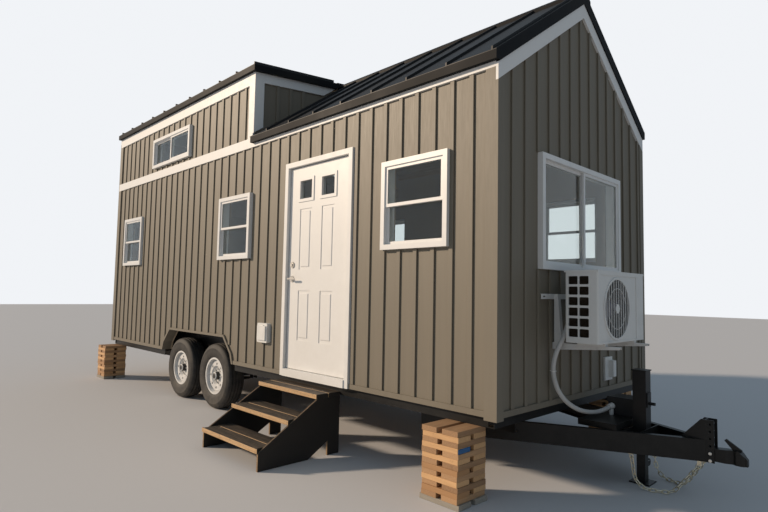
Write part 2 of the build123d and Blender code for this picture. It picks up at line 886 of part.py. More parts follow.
with BuildPart() as door_lever:
    start = door_front + 2 * running_gap
    with Locations(door_side):
        with Locations((latch_x, lever_z, (start + door_front + lever_out) / 2)):
            Cylinder(spindle, door_front + lever_out - start)
    handle_y = door_y - door_front - lever_out
    with BuildSketch(Plane(origin=(latch_x, handle_y, lever_z), x_dir=(1, 0, 0), z_dir=(0, -1, 0))):
        with Locations((lever_length / 2 - spindle, 0)):
            SlotOverall(lever_length, 2 * spindle)
    extrude(amount=-spindle)
save(door_lever, "door_lever")


# Trailer frame
front_x = hitch_x - rail_inset
back_x = rear_x + rail_inset
rim_y = door_y + rail_inset
well_front_x = arch_x + arch_base
well_rear_x = arch_x - arch_base


def channel_along_x(x0, x1, web_y, inward, z0, height, width):
    """A steel channel along X, its web outside and its flanges pointing inward."""
    y0, y1 = sorted((web_y, web_y + inward * width))
    block(x0, x1, y0, y1, z0, z0 + height)
    p0, p1 = sorted((web_y + inward * steel, web_y + inward * width))
    block(x0, x1, p0, p1, z0 + steel, z0 + height - steel, mode=Mode.SUBTRACT)


def channel_along_y(y0, y1, web_x, inward, z0, height, width):
    """The same channel, along Y."""
    x0, x1 = sorted((web_x, web_x + inward * width))
    block(x0, x1, y0, y1, z0, z0 + height)
    p0, p1 = sorted((web_x + inward * steel, web_x + inward * width))
    block(p0, p1, y0, y1, z0 + steel, z0 + height - steel, mode=Mode.SUBTRACT)


beam_web_y = mid_y - beam_y
cross_height = 76
cross_low_z = base_z - cross_height
cross_count = int((front_x - back_x - 2 * rail_width) // cross_pitch)
cross_xs = [front_x - rail_width - (i + 0.5) * cross_pitch for i in range(cross_count)]
outrigger_xs = [x for x in cross_xs if x - rail_width > well_front_x or x < well_rear_x]

with BuildPart() as crossmembers:
    for x in cross_xs:
        channel_along_y(beam_web_y + rail_width, 2 * mid_y - beam_web_y - rail_width, x, -1,
                        cross_low_z, cross_height, rail_width)
    for x in outrigger_xs:
        channel_along_y(rim_y + rail_width, beam_web_y, x, -1, cross_low_z, cross_height, rail_width)
        channel_along_y(2 * mid_y - beam_web_y, 2 * mid_y - rim_y - rail_width, x, -1,
                        cross_low_z, cross_height, rail_width)
save(crossmembers, "crossmembers")

# Tongue: two channels that run from under the main beams to the nose
tongue_top_z = beam_low_z
tongue_low_z = tongue_top_z - tongue_height
nose_x = hitch_x + tongue_reach
tongue_slope = tan(radians(tongue_angle))
tail_x = nose_x - (beam_y - tongue_nose_gap) / tongue_slope
jack_x = hitch_x + jack_forward
bar_sheet = 8
bar_seat = 4.5
battery_length = 215
battery_width = 200
battery_height = 140
battery_x = hitch_x + 275
battery_y = mid_y + 180
tray_height = 45
lid_height = 40
lid_lap = 6
tray_front_x = battery_x + battery_length / 2 + lid_lap
tray_rear_x = battery_x - battery_length / 2 - 80


def tongue_half(x):
    """Distance from the middle to the outer face of a tongue beam."""
    return tongue_nose_gap + (nose_x - x) * tongue_slope


def tongue_plan(x0, x1, out, width):
    """Outline, from above, of a stretch of the door-side tongue beam."""
    return [
        (x0, mid_y - tongue_half(x0) + out),
        (x1, mid_y - tongue_half(x1) + out),
        (x1, mid_y - tongue_half(x1) + out + width),
        (x0, mid_y - tongue_half(x0) + out + width),
    ]


with BuildPart() as tongue_beams:
    with BuildSketch(Plane.XY.offset(tongue_low_z)):
        with BuildLine():
            Polyline(*tongue_plan(tail_x, nose_x, 0, rail_width), close=True)
        make_face()
    extrude(amount=tongue_height)
    with BuildSketch(Plane.XY.offset(tongue_low_z + steel)):
        with BuildLine():
            Polyline(*tongue_plan(tail_x, nose_x, steel, rail_width), close=True)
        make_face()
    extrude(amount=tongue_height - 2 * steel, mode=Mode.SUBTRACT)
    split(bisect_by=long_mid, keep=Keep.BOTTOM)
    mirror(about=long_mid)
    for x in (jack_x - jack_size / 2 - bar_sheet, jack_x + jack_size / 2):
        reach = tongue_half(x) - bar_seat
        block(x, x + bar_sheet, mid_y - reach, mid_y + reach, tongue_low_z, tongue_top_z)
    # The tray for the battery is a folded plate across both beams
    tray_half = tongue_half(tray_front_x)
    block(tray_rear_x, tray_front_x, mid_y - tray_half, mid_y + tray_half, tongue_top_z, tongue_top_z + tray_height)
    block(tray_rear_x + steel, tray_front_x - steel, mid_y - tray_half + steel, mid_y + tray_half - steel,
          tongue_top_z, tongue_top_z + tray_height - steel, mode=Mode.SUBTRACT)
save(tongue_beams, "tongue_beams")

mount_low_z = tongue_low_z
mount_top_z = mount_low_z + mount_height
mount_hole = 8
mount_x = nose_x + steel
hole_x = mount_x + mount_flange / 2
hole_pitch = 50
hole_count = 6
first_hole_z = mount_low_z + 14
gusset_length = 155
gusset_top = 22
gusset_sheet = 8

with BuildPart() as coupler_mount:
    flange_x = mount_x + mount_flange
    block(nose_x, flange_x, mid_y - mount_width / 2, mid_y + mount_width / 2, mount_low_z, mount_top_z)
    block(mount_x, flange_x, mid_y - mount_width / 2 + steel, mid_y + mount_width / 2 - steel,
          mount_low_z, mount_top_z, mode=Mode.SUBTRACT)
    with Locations(Plane(origin=(hole_x, mid_y, 0), x_dir=(1, 0, 0), z_dir=(0, -1, 0))):
        with Locations(*[(0, first_hole_z + i * hole_pitch) for i in range(hole_count)]):
            Cylinder(mount_hole, 2 * mount_width, mode=Mode.SUBTRACT)
    for side in (-1, 1):
        gusset_y = mid_y + side * (mount_width - gusset_sheet) / 2
        with BuildSketch(Plane(origin=(0, gusset_y, 0), x_dir=(1, 0, 0), z_dir=(0, -1, 0))):
            with BuildLine():
                Polyline((nose_x - gusset_length, tongue_top_z), (nose_x, tongue_top_z),
                         (nose_x, mount_top_z), (nose_x - gusset_top, mount_top_z), close=True)
            make_face()
        extrude(amount=gusset_sheet / 2, both=True)
save(coupler_mount, "coupler_mount")

# Coupler, bolted in the lowest pair of holes: a pressed body that narrows to the dome over the ball
coupler_x = mount_x + running_gap
coupler_z = mount_low_z + 56
coupler_low_z = coupler_z - coupler_height / 2
coupler_half = mount_width / 2 - steel - running_gap
coupler_tip_x = hitch_x + coupler_reach
ball_radius = 30
ball_x = coupler_tip_x - 48
dome_radius = 40
dome_rise = 20
latch_width = 16
latch_top_z = coupler_z + coupler_height / 2 + 78

with BuildPart() as coupler:
    side_face = Plane(origin=(0, mid_y, 0), x_dir=(1, 0, 0), z_dir=(0, -1, 0))
    with BuildSketch(side_face):
        with BuildLine():
            Polyline(
                (coupler_x, coupler_low_z),
                (coupler_x, coupler_z + coupler_height / 2),
                (mount_x + mount_flange, coupler_z + coupler_height / 2),
                (ball_x - dome_radius, coupler_z + coupler_height / 2 + dome_rise / 2),
                (ball_x, coupler_z + coupler_height / 2 + dome_rise / 2),
                (ball_x + dome_radius, coupler_z + 12),
                (coupler_tip_x, coupler_z),
                (coupler_tip_x, coupler_low_z),
                close=True,
            )
        make_face()
    extrude(amount=coupler_half, both=True)
    # In plan the body keeps the channel's width, then narrows round the ball
    with BuildSketch(Plane.XY.offset(coupler_low_z)) as plan:
        with BuildLine():
            Polyline(
                (coupler_x, mid_y - coupler_half),
                (ball_x - 2 * dome_radius, mid_y - coupler_half),
                (ball_x - dome_radius, mid_y - dome_radius / 2),
                (ball_x - dome_radius, mid_y + dome_radius / 2),
                (ball_x - 2 * dome_radius, mid_y + coupler_half),
                (coupler_x, mid_y + coupler_half),
                close=True,
            )
        make_face()
        with Locations((ball_x, mid_y)):
            Circle(dome_radius)
        with Locations(((ball_x + coupler_tip_x) / 2, mid_y)):
            Rectangle(coupler_tip_x - ball_x, dome_radius)
        with Locations((ball_x - dome_radius, mid_y)):
            Rectangle(2 * dome_radius, dome_radius)
    extrude(plan.sketch, amount=2 * coupler_height, mode=Mode.INTERSECT)
    with Locations((ball_x, mid_y, coupler_low_z)):
        Sphere(ball_radius, mode=Mode.SUBTRACT)
    # The latch lever leans back from its pivot above the dome
    with BuildSketch(side_face) as latch:
        with BuildLine():
            Polyline(
                (ball_x - 80, latch_top_z),
                (ball_x - 92, latch_top_z - 12),
                (ball_x - 34, coupler_z + coupler_height / 2),
                (ball_x + 10, coupler_z + coupler_height / 2),
                (ball_x + 14, coupler_z + coupler_height / 2 + 16),
                close=True,
            )
        make_face()
    extrude(latch.sketch, amount=latch_width / 2, both=True)
    with Locations(*[(hole_x, mid_y, first_hole_z + i * hole_pitch) for i in range(2)]):
        Cylinder(mount_hole, 2 * mount_width, rotation=(90, 0, 0), mode=Mode.SUBTRACT)
save(coupler, "coupler")

# Tongue jack: a square tube between the tongue beams and a leg that slides in it
cap_lap = 6
cap_sheet = 8
crank_radius = 12
crank_length = 50
crank_up = 188
plate_long = 70
plate_high = 110
pin_up = 125
plunger_radius = 15
plunger_length = 80
ring_radius = 25
ring_bar = 5

with BuildPart() as jack_tube:
    with Locations((jack_x, mid_y, (jack_low_z + jack_top_z) / 2)):
        Box(jack_size, jack_size, jack_top_z - jack_low_z)
    with Locations((jack_x, mid_y, jack_top_z - cap_sheet / 2)):
        Box(jack_size + 2 * cap_lap, jack_size + 2 * cap_lap, cap_sheet)
    inner = jack_size - 2 * jack_wall
    with Locations((jack_x, mid_y, (jack_low_z + collar_height + jack_top_z - jack_wall) / 2)):
        Box(inner, inner, jack_top_z - jack_wall - jack_low_z - collar_height, mode=Mode.SUBTRACT)
    sleeve = leg_size + 2 * leg_gap
    with Locations((jack_x, mid_y, jack_low_z + collar_height / 2)):
        Box(sleeve, sleeve, collar_height, mode=Mode.SUBTRACT)
    # Crank stub on its bearing plate, on the face towards the hitch
    with Locations((jack_x + jack_size / 2, mid_y, tongue_top_z + crank_up)):
        Cylinder(crank_radius, crank_length, rotation=(0, 90, 0), align=(Align.CENTER, Align.CENTER, Align.MIN))
        with Locations((0, 0, plate_high / 4)):
            Box(cap_sheet, plate_long, plate_high, align=(Align.MIN, Align.CENTER, Align.CENTER))
save(jack_tube, "jack_tube")

with BuildPart() as jack_leg:
    with Locations((jack_x, mid_y, foot_thick + leg_length / 2)):
        Box(leg_size, leg_size, leg_length)
        Box(leg_size - 2 * leg_wall, leg_size - 2 * leg_wall, leg_length, mode=Mode.SUBTRACT)
    with Locations((jack_x, mid_y, foot_thick / 2)):
        Box(foot_size, foot_size, foot_thick)
    # The spring pin of the drop leg points between the cross bars, with its pull ring
    pin_y = mid_y + leg_size / 2
    with Locations((jack_x, pin_y + plunger_length / 2, pin_up)):
        Cylinder(plunger_radius, plunger_length, rotation=(90, 0, 0))
    pull_ring = Plane(origin=(jack_x, pin_y + plunger_length + ring_radius - ring_bar, pin_up),
                      x_dir=(0, 1, 0), z_dir=(1, 0, 0))
    add(bar_ring(ring_radius, ring_bar).moved(pull_ring.location))
save(jack_leg, "jack_leg")

with BuildPart() as battery_box:
    tray_z = tongue_top_z + tray_height
    block(battery_x - battery_length / 2, battery_x + battery_length / 2, battery_y - battery_width / 2,
          battery_y + battery_width / 2, tray_z, tray_z + battery_height)
    fillet(battery_box.edges().filter_by(Axis.Z), 12)
    with Locations((battery_x, battery_y, tray_z + battery_height - lid_height / 2)):
        Box(battery_length + 2 * lid_lap, battery_width + 2 * lid_lap, lid_height)
    fillet(battery_box.faces().sort_by(Axis.Z)[-1].edges(), 10)
save(battery_box, "battery_box")

# Running gear
axle_xs = [hitch_x - back for back in axle_backs]
wheel_y = door_y + wheel_inset + tyre_width / 2
seat_y = beam_web_y + rail_width / 2
drum_gap = 70
axle_z = tyre_radius
spindle_reach = 40

with BuildPart() as axles:
    for x in axle_xs:
        inner_y = wheel_y + drum_gap
        with Locations((x, mid_y, axle_z)):
            Cylinder(axle_radius, 2 * (mid_y - inner_y), rotation=(90, 0, 0))
            Cylinder(spindle_radius, 2 * (mid_y - wheel_y + spindle_reach), rotation=(90, 0, 0))
save(axles, "axles")

rim_sheet = 6
rim_half = tyre_width / 2 - 18
rim_flange = 14
disc_out = 45
hub_radius = 46
hub_out = 50
hand_holes = 8
hand_hole_radius = 15
hand_circle = 140
stud_circle = 82
bead_gap = 0.5


def wheel_at(x):
    """A steel disc wheel, turned about its axle, with hand holes and studs."""
    section = Plane(origin=(x, wheel_y, axle_z), x_dir=(0, -1, 0), z_dir=(1, 0, 0))
    axis = Axis((x, wheel_y, axle_z), (0, 1, 0))
    with BuildSketch(section) as profile:
        with BuildLine():
            Polyline(
                (spindle_reach + 1, 0),
                (disc_out + hub_out, 0),
                (disc_out + hub_out, hub_radius - 8),
                (disc_out + hub_out - 8, hub_radius),
                (disc_out - 10 + rim_sheet, hub_radius),
                (disc_out - 10 + rim_sheet, hub_radius + 52),
                (disc_out + 12 + rim_sheet, hand_circle - 22),
                (disc_out + 12 + rim_sheet, rim_radius - 30),
                (disc_out - 4 + rim_sheet, rim_radius - rim_sheet - 6),
                (rim_half, rim_radius - rim_sheet),
                (rim_half, rim_radius + rim_flange),
                (rim_half - rim_sheet, rim_radius + rim_flange),
                (rim_half - rim_sheet, rim_radius),
                (-rim_half + rim_sheet, rim_radius),
                (-rim_half + rim_sheet, rim_radius + rim_flange),
                (-rim_half, rim_radius + rim_flange),
                (-rim_half, rim_radius - rim_sheet),
                (disc_out - 24, rim_radius - rim_sheet),
                (disc_out - 4, rim_radius - 30),
                (disc_out + 4, hand_circle - 22),
                (disc_out - 18, hub_radius + 52),
                (disc_out - 18, hub_radius),
                (-30, hub_radius),
                (-30, spindle_radius + running_gap),
                (spindle_reach + 1, spindle_radius + running_gap),
                close=True,
            )
        make_face()
    revolve(profile.sketch, axis=axis)
    face = Plane(origin=(x, wheel_y - disc_out, axle_z), x_dir=(1, 0, 0), z_dir=(0, -1, 0))
    with Locations(face):
        with PolarLocations(hand_circle, hand_holes):
            Cylinder(hand_hole_radius, 80, mode=Mode.SUBTRACT)
        with PolarLocations(stud_circle, hand_holes):
            Cylinder(11, 30)


def tyre_at(x):
    """A tyre turned about the same axle, its beads between the rim's flanges."""
    section = Plane(origin=(x, wheel_y, axle_z), x_dir=(0, -1, 0), z_dir=(1, 0, 0))
    bead_half = rim_half - rim_sheet - bead_gap
    bead_radius = rim_radius + bead_gap
    with BuildSketch(section) as profile:
        with BuildLine():
            Polyline(
                (-bead_half, bead_radius),
                (-bead_half, bead_radius + rim_flange + 4),
                (-tyre_width / 2, (rim_radius + tyre_radius) / 2),
                (-tyre_width / 2 + 8, tyre_radius - 35),
                (-tyre_width / 2 + 30, tyre_radius - 4),
                (-60, tyre_radius),
                (60, tyre_radius),
                (tyre_width / 2 - 30, tyre_radius - 4),
                (tyre_width / 2 - 8, tyre_radius - 35),
                (tyre_width / 2, (rim_radius + tyre_radius) / 2),
                (bead_half, bead_radius + rim_flange + 4),
                (bead_half, bead_radius),
                (bead_half - 16, bead_radius),
                (tyre_width / 2 - 14, (rim_radius + tyre_radius) / 2),
                (60, tyre_radius - 22),
                (-60, tyre_radius - 22),
                (-tyre_width / 2 + 14, (rim_radius + tyre_radius) / 2),
                (-bead_half + 16, bead_radius),
                close=True,
            )
        make_face()
    revolve(profile.sketch, axis=Axis((x, wheel_y, axle_z), (0, 1, 0)))


for place, x in zip(("front", "rear"), axle_xs):
    for side in ("door_side", "far_side"):
        with BuildPart() as wheel:
            wheel_at(x)
            if side == "far_side":
                mirror(about=long_mid, mode=Mode.REPLACE)
        save(wheel, f"wheel_{place}_{side}")
        with BuildPart() as tyre:
            tyre_at(x)
            if side == "far_side":
                mirror(about=long_mid, mode=Mode.REPLACE)
        save(tyre, f"tyre_{place}_{side}")

# Leaf springs below the axles, hung from the main beams
spring_span = 640
leaf_rise = 30
leaf_step = 0.22


def spring_under(x):
    """A pack of leaves that get shorter towards the axle, each a shallow arc."""
    face = Plane(origin=(x, seat_y, 0), x_dir=(1, 0, 0), z_dir=(0, -1, 0))
    seat = axle_z - axle_radius - running_gap
    for i in range(leaf_count):
        reach = spring_span / 2 * (1 - leaf_step * i)
        low = seat - (i + 1) * leaf_thick
        rise = leaf_rise * (reach / (spring_span / 2)) ** 2
        with BuildSketch(face) as leaf:
            with BuildLine():
                ThreePointArc((-reach, low + rise), (0, low), (reach, low + rise))
                Line((reach, low + rise), (reach, low + rise + leaf_thick))
                top = low + rise + leaf_thick
                ThreePointArc((reach, top), (0, low + leaf_thick), (-reach, top))
                Line((-reach, top), (-reach, low + rise))
            make_face()
        extrude(leaf.sketch, amount=spring_width / 2, both=True)


with BuildPart() as leaf_springs:
    for x in axle_xs:
        spring_under(x)
    mirror(about=long_mid)
save(leaf_springs, "leaf_springs")

hanger_sheet = 6
eye_in = 12
eye_z = axle_z - axle_radius - leaf_thick / 2 + leaf_rise
hanger_drop = 14
hanger_reach = 30
equalizer_reach = 150
hangers = [
    (axle_xs[0] + spring_span / 2 - eye_in, hanger_reach),
    ((axle_xs[0] + axle_xs[1]) / 2, equalizer_reach),
    (axle_xs[1] - spring_span / 2 + eye_in, hanger_reach),
]

with BuildPart() as chassis_rails:
    channel_along_x(back_x + rail_width, well_rear_x, rim_y, 1, rail_low_z, rail_height, rail_width)
    channel_along_x(well_front_x, front_x - rail_width, rim_y, 1, rail_low_z, rail_height, rail_width)
    mirror(about=long_mid)
    channel_along_y(rim_y, 2 * mid_y - rim_y, front_x, -1, rail_low_z, rail_height, rail_width)
    channel_along_y(rim_y, 2 * mid_y - rim_y, back_x, 1, rail_low_z, rail_height, rail_width)
save(chassis_rails, "chassis_rails")

with BuildPart() as main_beams:
    channel_along_x(back_x + rail_width, front_x - rail_width, beam_web_y, 1, beam_low_z, beam_height, rail_width)
    for x, reach in hangers:
        for side in (-1, 1):
            y = seat_y + side * (spring_width / 2 + hanger_sheet / 2 + running_gap)
            block(x - reach, x + reach, y - hanger_sheet / 2, y + hanger_sheet / 2, eye_z - hanger_drop, beam_low_z)
    mirror(about=long_mid)
save(main_beams, "main_beams")

# Steps: two stringers notched for the front boards, and treads of two boards
step_x = hitch_x - step_back
step_front_y = door_y - step_reach
wall_gap = 2
step_rear_y = rim_y - wall_gap
tread_count = 3
tread_z = [step_rise * (i + 1) for i in range(tread_count)]
tread_y = [step_front_y + step_run * i for i in range(tread_count)]
tread_board = (step_run - tread_gap) / 2
nosing = 12
leg_back = 130
leg_cut_high = 120
leg_cut_long = 206

with BuildPart() as step_stringers:
    outline = Plane(origin=(step_x - step_width / 2, 0, 0), x_dir=(0, 1, 0), z_dir=(1, 0, 0))
    notches = []
    for y, z in zip(tread_y[1:], tread_z):
        notches += [(y - step_run + tread_board + nosing, z - tread_thick), (y + nosing, z + step_rise - tread_thick)]
    with BuildSketch(outline):
        with BuildLine():
            Polyline(
                (step_front_y + nosing, 0),
                (step_front_y + nosing, tread_z[0] - tread_thick),
                *notches,
                (step_rear_y, tread_z[-1] - tread_thick),
                (step_rear_y, 0),
                (step_rear_y - leg_back, 0),
                (step_rear_y - leg_back, leg_cut_high),
                (step_rear_y - leg_back - leg_cut_long, 0),
                close=True,
            )
        make_face()
    extrude(amount=stringer_thick)
    mirror(about=Plane.YZ.offset(step_x))
save(step_stringers, "step_stringers")

with BuildPart() as step_treads:
    for i in range(tread_count):
        top_step = i == tread_count - 1
        depth = (rim_y - running_gap - tread_y[i] - tread_gap) / 2 if top_step else tread_board
        for j in range(2):
            # The front boards and the top step lie over the stringers, the others between them
            reach = step_width / 2 if top_step or j == 0 else step_width / 2 - stringer_thick
            y0 = tread_y[i] + j * (depth + tread_gap)
            block(step_x - reach, step_x + reach, y0, y0 + depth, tread_z[i] - tread_thick, tread_z[i])
save(step_treads, "step_treads")

# Cribs of crossed boards under the four corners of the frame, the lowest boards longer
crib_layer = rail_low_z / crib_layers


def crib(x, y):
    """A stack of layers of two boards, each layer crossing the one below."""
    off = (crib_size - crib_board) / 2
    for layer in range(crib_layers):
        z = (layer + 0.5) * crib_layer
        length = crib_base if layer == 0 else crib_size
        for side in (-1, 1):
            if layer % 2:
                with Locations((x + side * off, y, z)):
                    Box(crib_board, crib_size, crib_layer)
            else:
                with Locations((x, y + side * off, z)):
                    Box(length, crib_board, crib_layer)


with BuildPart() as crib_stacks:
    for back in crib_backs:
        crib(hitch_x - back, door_y - crib_outs[0] + crib_size / 2)
        crib(hitch_x - back, far_y + crib_outs[1] - crib_size / 2)
save(crib_stacks, "crib_stacks")

# Condenser on its wall bracket, under the gable window
cabinet_x = hitch_x + cabinet_gap
cabinet_front_x = cabinet_x + cabinet_depth
cabinet_y0 = door_y + cabinet_y
cabinet_y1 = cabinet_y0 + cabinet_width
cabinet_top_z = cabinet_low_z + cabinet_height
cabinet_mid_z = cabinet_low_z + cabinet_height / 2
fan_y = cabinet_y0 + fan_offset
fan_z = cabinet_mid_z - 12
cabinet_corner = 14
louvre_columns = [(26, 72), (108, 72)]
louvre_rows = 6
louvre_low = 34
louvre_pitch = 76
louvre_bar = 17
louvre_corner = 8
lid_sheet = 10
lid_out = 4
foot_height = 22
foot_half = 24
foot_in = 20
arm_ys = [cabinet_y0 + 175, cabinet_y1 - 130]
front_frame = 14
front_step = 5
service_width = 150
groove_count = 5
groove_pitch = 22
groove_low = 120

with BuildPart() as condenser_cabinet:
    block(cabinet_x, cabinet_front_x, cabinet_y0, cabinet_y1, cabinet_low_z, cabinet_top_z)
    fillet(condenser_cabinet.edges().filter_by(Axis.Z), cabinet_corner)
    # The front panel is set in behind a narrow border, beside the service cover
    panel_y1 = cabinet_y1 - service_width
    block(cabinet_front_x - front_step, cabinet_front_x, cabinet_y0 + 2 * front_frame, panel_y1,
          cabinet_low_z + front_frame, cabinet_top_z - 2 * front_frame, mode=Mode.SUBTRACT)
    for i in range(groove_count):
        z = cabinet_low_z + groove_low + i * groove_pitch
        block(cabinet_front_x - 3, cabinet_front_x, panel_y1 + front_frame, cabinet_y1 - front_frame, z, z + 5,
              mode=Mode.SUBTRACT)
    block(cabinet_x + cabinet_sheet, cabinet_front_x - front_step - cabinet_sheet, cabinet_y0 + cabinet_sheet,
          cabinet_y1 - cabinet_sheet, cabinet_low_z + cabinet_sheet, cabinet_top_z - cabinet_sheet, mode=Mode.SUBTRACT)
    with Locations((cabinet_front_x, fan_y, fan_z)):
        Cylinder(fan_radius, 4 * cabinet_sheet, rotation=(0, 90, 0), mode=Mode.SUBTRACT)
    # Two columns of round-cornered air inlets in the end
    end_face = Plane(origin=(cabinet_x, cabinet_y0, cabinet_low_z), x_dir=(1, 0, 0), z_dir=(0, -1, 0))
    with BuildSketch(end_face) as inlets:
        for start, width in louvre_columns:
            for row in range(louvre_rows):
                with Locations((start + width / 2, louvre_low + (row + 0.5) * louvre_pitch)):
                    RectangleRounded(width, louvre_pitch - louvre_bar, louvre_corner)
    extrude(inlets.sketch, amount=-cabinet_sheet, mode=Mode.SUBTRACT)
    # The lid laps over the sides
    block(cabinet_x - lid_out, cabinet_front_x, cabinet_y0 - lid_out, cabinet_y1 + lid_out,
          cabinet_top_z - lid_sheet, cabinet_top_z + lid_out)
    for y in arm_ys:
        block(cabinet_x + foot_in, cabinet_front_x - foot_in, y - foot_half, y + foot_half,
              cabinet_low_z - foot_height, cabinet_low_z)
save(condenser_cabinet, "condenser_cabinet")

guard_bar = 5
guard_wire = 3
guard_pitch = 42
guard_out = 6
guard_rings = [75, 150]
guard_rim = 12
guard_seat = 5
badge_radius = 34

with BuildPart() as condenser_guard:
    # Upright bars between a rim and a middle disc, with rings behind them
    guard_x = cabinet_front_x - front_step
    front = Plane(origin=(guard_x, fan_y, fan_z), x_dir=(0, 1, 0), z_dir=(1, 0, 0))
    with BuildSketch(front) as bars:
        Circle(fan_radius)
        Circle(fan_radius - guard_rim, mode=Mode.SUBTRACT)
        Circle(badge_radius)
        bar_count = int(2 * fan_radius / guard_pitch)
        for i in range(bar_count):
            across = (i - (bar_count - 1) / 2) * guard_pitch
            reach = 2 * (fan_radius**2 - across**2) ** 0.5
            with Locations((across, 0)):
                Rectangle(guard_bar, reach - guard_rim)
    extrude(bars.sketch, amount=guard_out)
    with BuildSketch(front) as rings:
        for radius in guard_rings:
            Circle(radius + guard_wire / 2)
            Circle(radius - guard_wire / 2, mode=Mode.SUBTRACT)
    extrude(rings.sketch, amount=guard_out / 2)
    # The rim stands on the edge of the panel's opening
    with BuildSketch(front) as seat:
        Circle(fan_radius + guard_seat)
        Circle(fan_radius - guard_rim, mode=Mode.SUBTRACT)
    extrude(seat.sketch, amount=guard_out)
save(condenser_guard, "condenser_guard")

motor_radius = 38
motor_length = 130
hub_width = 60
fan_hub = 62
blade_count = 3
blade_sheet = 3
blade_twist = 26
blade_sweep = 0.8

with BuildPart() as condenser_fan:
    with Locations((cabinet_x + cabinet_sheet, fan_y, fan_z)):
        Cylinder(motor_radius, motor_length, rotation=(0, 90, 0), align=(Align.CENTER, Align.CENTER, Align.MIN))
    hub_plane = Plane(origin=(cabinet_x + cabinet_sheet + motor_length - 20, fan_y, fan_z),
                      x_dir=(0, 1, 0), z_dir=(1, 0, 0))
    with BuildSketch(hub_plane):
        Circle(fan_hub)
    extrude(amount=hub_width)
    # Each blade is a swept-back petal, tilted about its own length
    blade_tip = fan_radius - 14
    with BuildPart(mode=Mode.PRIVATE) as blade:
        with BuildSketch(Plane.XY.offset(-blade_sheet / 2)):
            with BuildLine():
                root_in = fan_hub * blade_sweep
                lead = ThreePointArc((root_in, -26), (blade_tip * 0.6, -104), (blade_tip * 0.86, -blade_tip * 0.5))
                tip = ThreePointArc(lead @ 1, (blade_tip * 0.99, -blade_tip * 0.12), (blade_tip * 0.93, blade_tip * 0.36))
                back = ThreePointArc(tip @ 1, (blade_tip * 0.55, 44), (root_in, 30))
                Line(back @ 1, lead @ 0)
            make_face()
        extrude(amount=blade_sheet)
    blade_places = [hub_plane.offset(hub_width / 2).location * Location((0, 0, 0), (0, 0, i * 360 / blade_count))
                    * Location((0, 0, 0), (blade_twist, 0, 0)) for i in range(blade_count)]
    add([blade.part.moved(place) for place in blade_places])
save(condenser_fan, "condenser_fan")

rail_z = 1410
rail_depth = 22
rail_sheet = 3
rail_y0 = cabinet_y0 - 40
rail_long = 940
slot_long = 37
slot_high = 10
slot_in = 45
arm_low_z = cabinet_low_z - foot_height - running_gap - 50
arm_deep = 50
arm_tip = 17
upright_top = 30
upright_foot = 60
side_hole = 5
side_hole_xs = [190, 360]

with BuildPart() as condenser_bracket:
    # The wall rail is a shallow channel, open to the wall, with a slot at each end
    rail_out_x = hitch_x + rail_depth
    block(hitch_x, rail_out_x, rail_y0, rail_y0 + rail_long, rail_z - arm_width / 2, rail_z + arm_width / 2)
    block(hitch_x, rail_out_x - rail_sheet, rail_y0, rail_y0 + rail_long, rail_z - arm_width / 2 + rail_sheet,
          rail_z + arm_width / 2 - rail_sheet, mode=Mode.SUBTRACT)
    with BuildSketch(Plane(origin=(rail_out_x, 0, rail_z), x_dir=(0, 1, 0), z_dir=(1, 0, 0))) as slots:
        with Locations((rail_y0 + slot_in, 0), (rail_y0 + rail_long - slot_in, 0)):
            SlotOverall(slot_long, slot_high)
    extrude(slots.sketch, amount=-rail_sheet, mode=Mode.SUBTRACT)
    # Each side is an upright that deepens towards its foot and an arm that narrows to its tip
    for y in arm_ys:
        with BuildSketch(Plane(origin=(0, y, 0), x_dir=(1, 0, 0), z_dir=(0, -1, 0))) as side_plate:
            with BuildLine():
                Polyline(
                    (rail_out_x, rail_z + arm_width / 2),
                    (rail_out_x + upright_top, rail_z + arm_width / 2),
                    (rail_out_x + upright_foot, arm_low_z + arm_deep),
                    (hitch_x + arm_length, arm_low_z + arm_deep),
                    (hitch_x + arm_length, arm_low_z + arm_deep - arm_tip),
                    (rail_out_x + upright_foot, arm_low_z),
                    (rail_out_x, arm_low_z),
                    close=True,
                )
            make_face()
        extrude(side_plate.sketch, amount=arm_width / 2, both=True)
        with BuildSketch(Plane(origin=(0, y, 0), x_dir=(1, 0, 0), z_dir=(0, -1, 0))) as hollow:
            with BuildLine():
                Polyline(
                    (rail_out_x, rail_z + arm_width / 2 - rail_sheet),
                    (rail_out_x + upright_top - rail_sheet, rail_z + arm_width / 2 - rail_sheet),
                    (rail_out_x + upright_foot - rail_sheet, arm_low_z + arm_deep - rail_sheet),
                    (hitch_x + arm_length, arm_low_z + arm_deep - rail_sheet),
                    (hitch_x + arm_length, arm_low_z),
                    (rail_out_x, arm_low_z),
                    close=True,
                )
            make_face()
        extrude(hollow.sketch, amount=arm_width / 2 - rail_sheet, both=True, mode=Mode.SUBTRACT)
        with Locations(*[(hitch_x + out, y, arm_low_z + arm_deep - arm_tip) for out in side_hole_xs]):
            Cylinder(side_hole, 2 * arm_width, rotation=(90, 0, 0), mode=Mode.SUBTRACT)
        # A foot plate at the bottom of each upright rests against the siding
        block(hitch_x, rail_out_x, y - arm_width / 2, y + arm_width / 2, arm_low_z, arm_low_z + arm_deep)
save(condenser_bracket, "condenser_bracket")

# Small boxes on the siding: an outlet with a bubble lid, and a power inlet with a flip lid
inlet_width = 185
inlet_height = 200
inlet_depth = 65
inlet_back = 2840
inlet_z = 975
inlet_lid = 14
inlet_lid_in = 18
outlet_width = 150
outlet_height = 205
outlet_plate = 22
outlet_depth = 62
outlet_y = 1745
outlet_z = 778
bubble_width = 70
bubble_height = 150
bubble_corner = 10

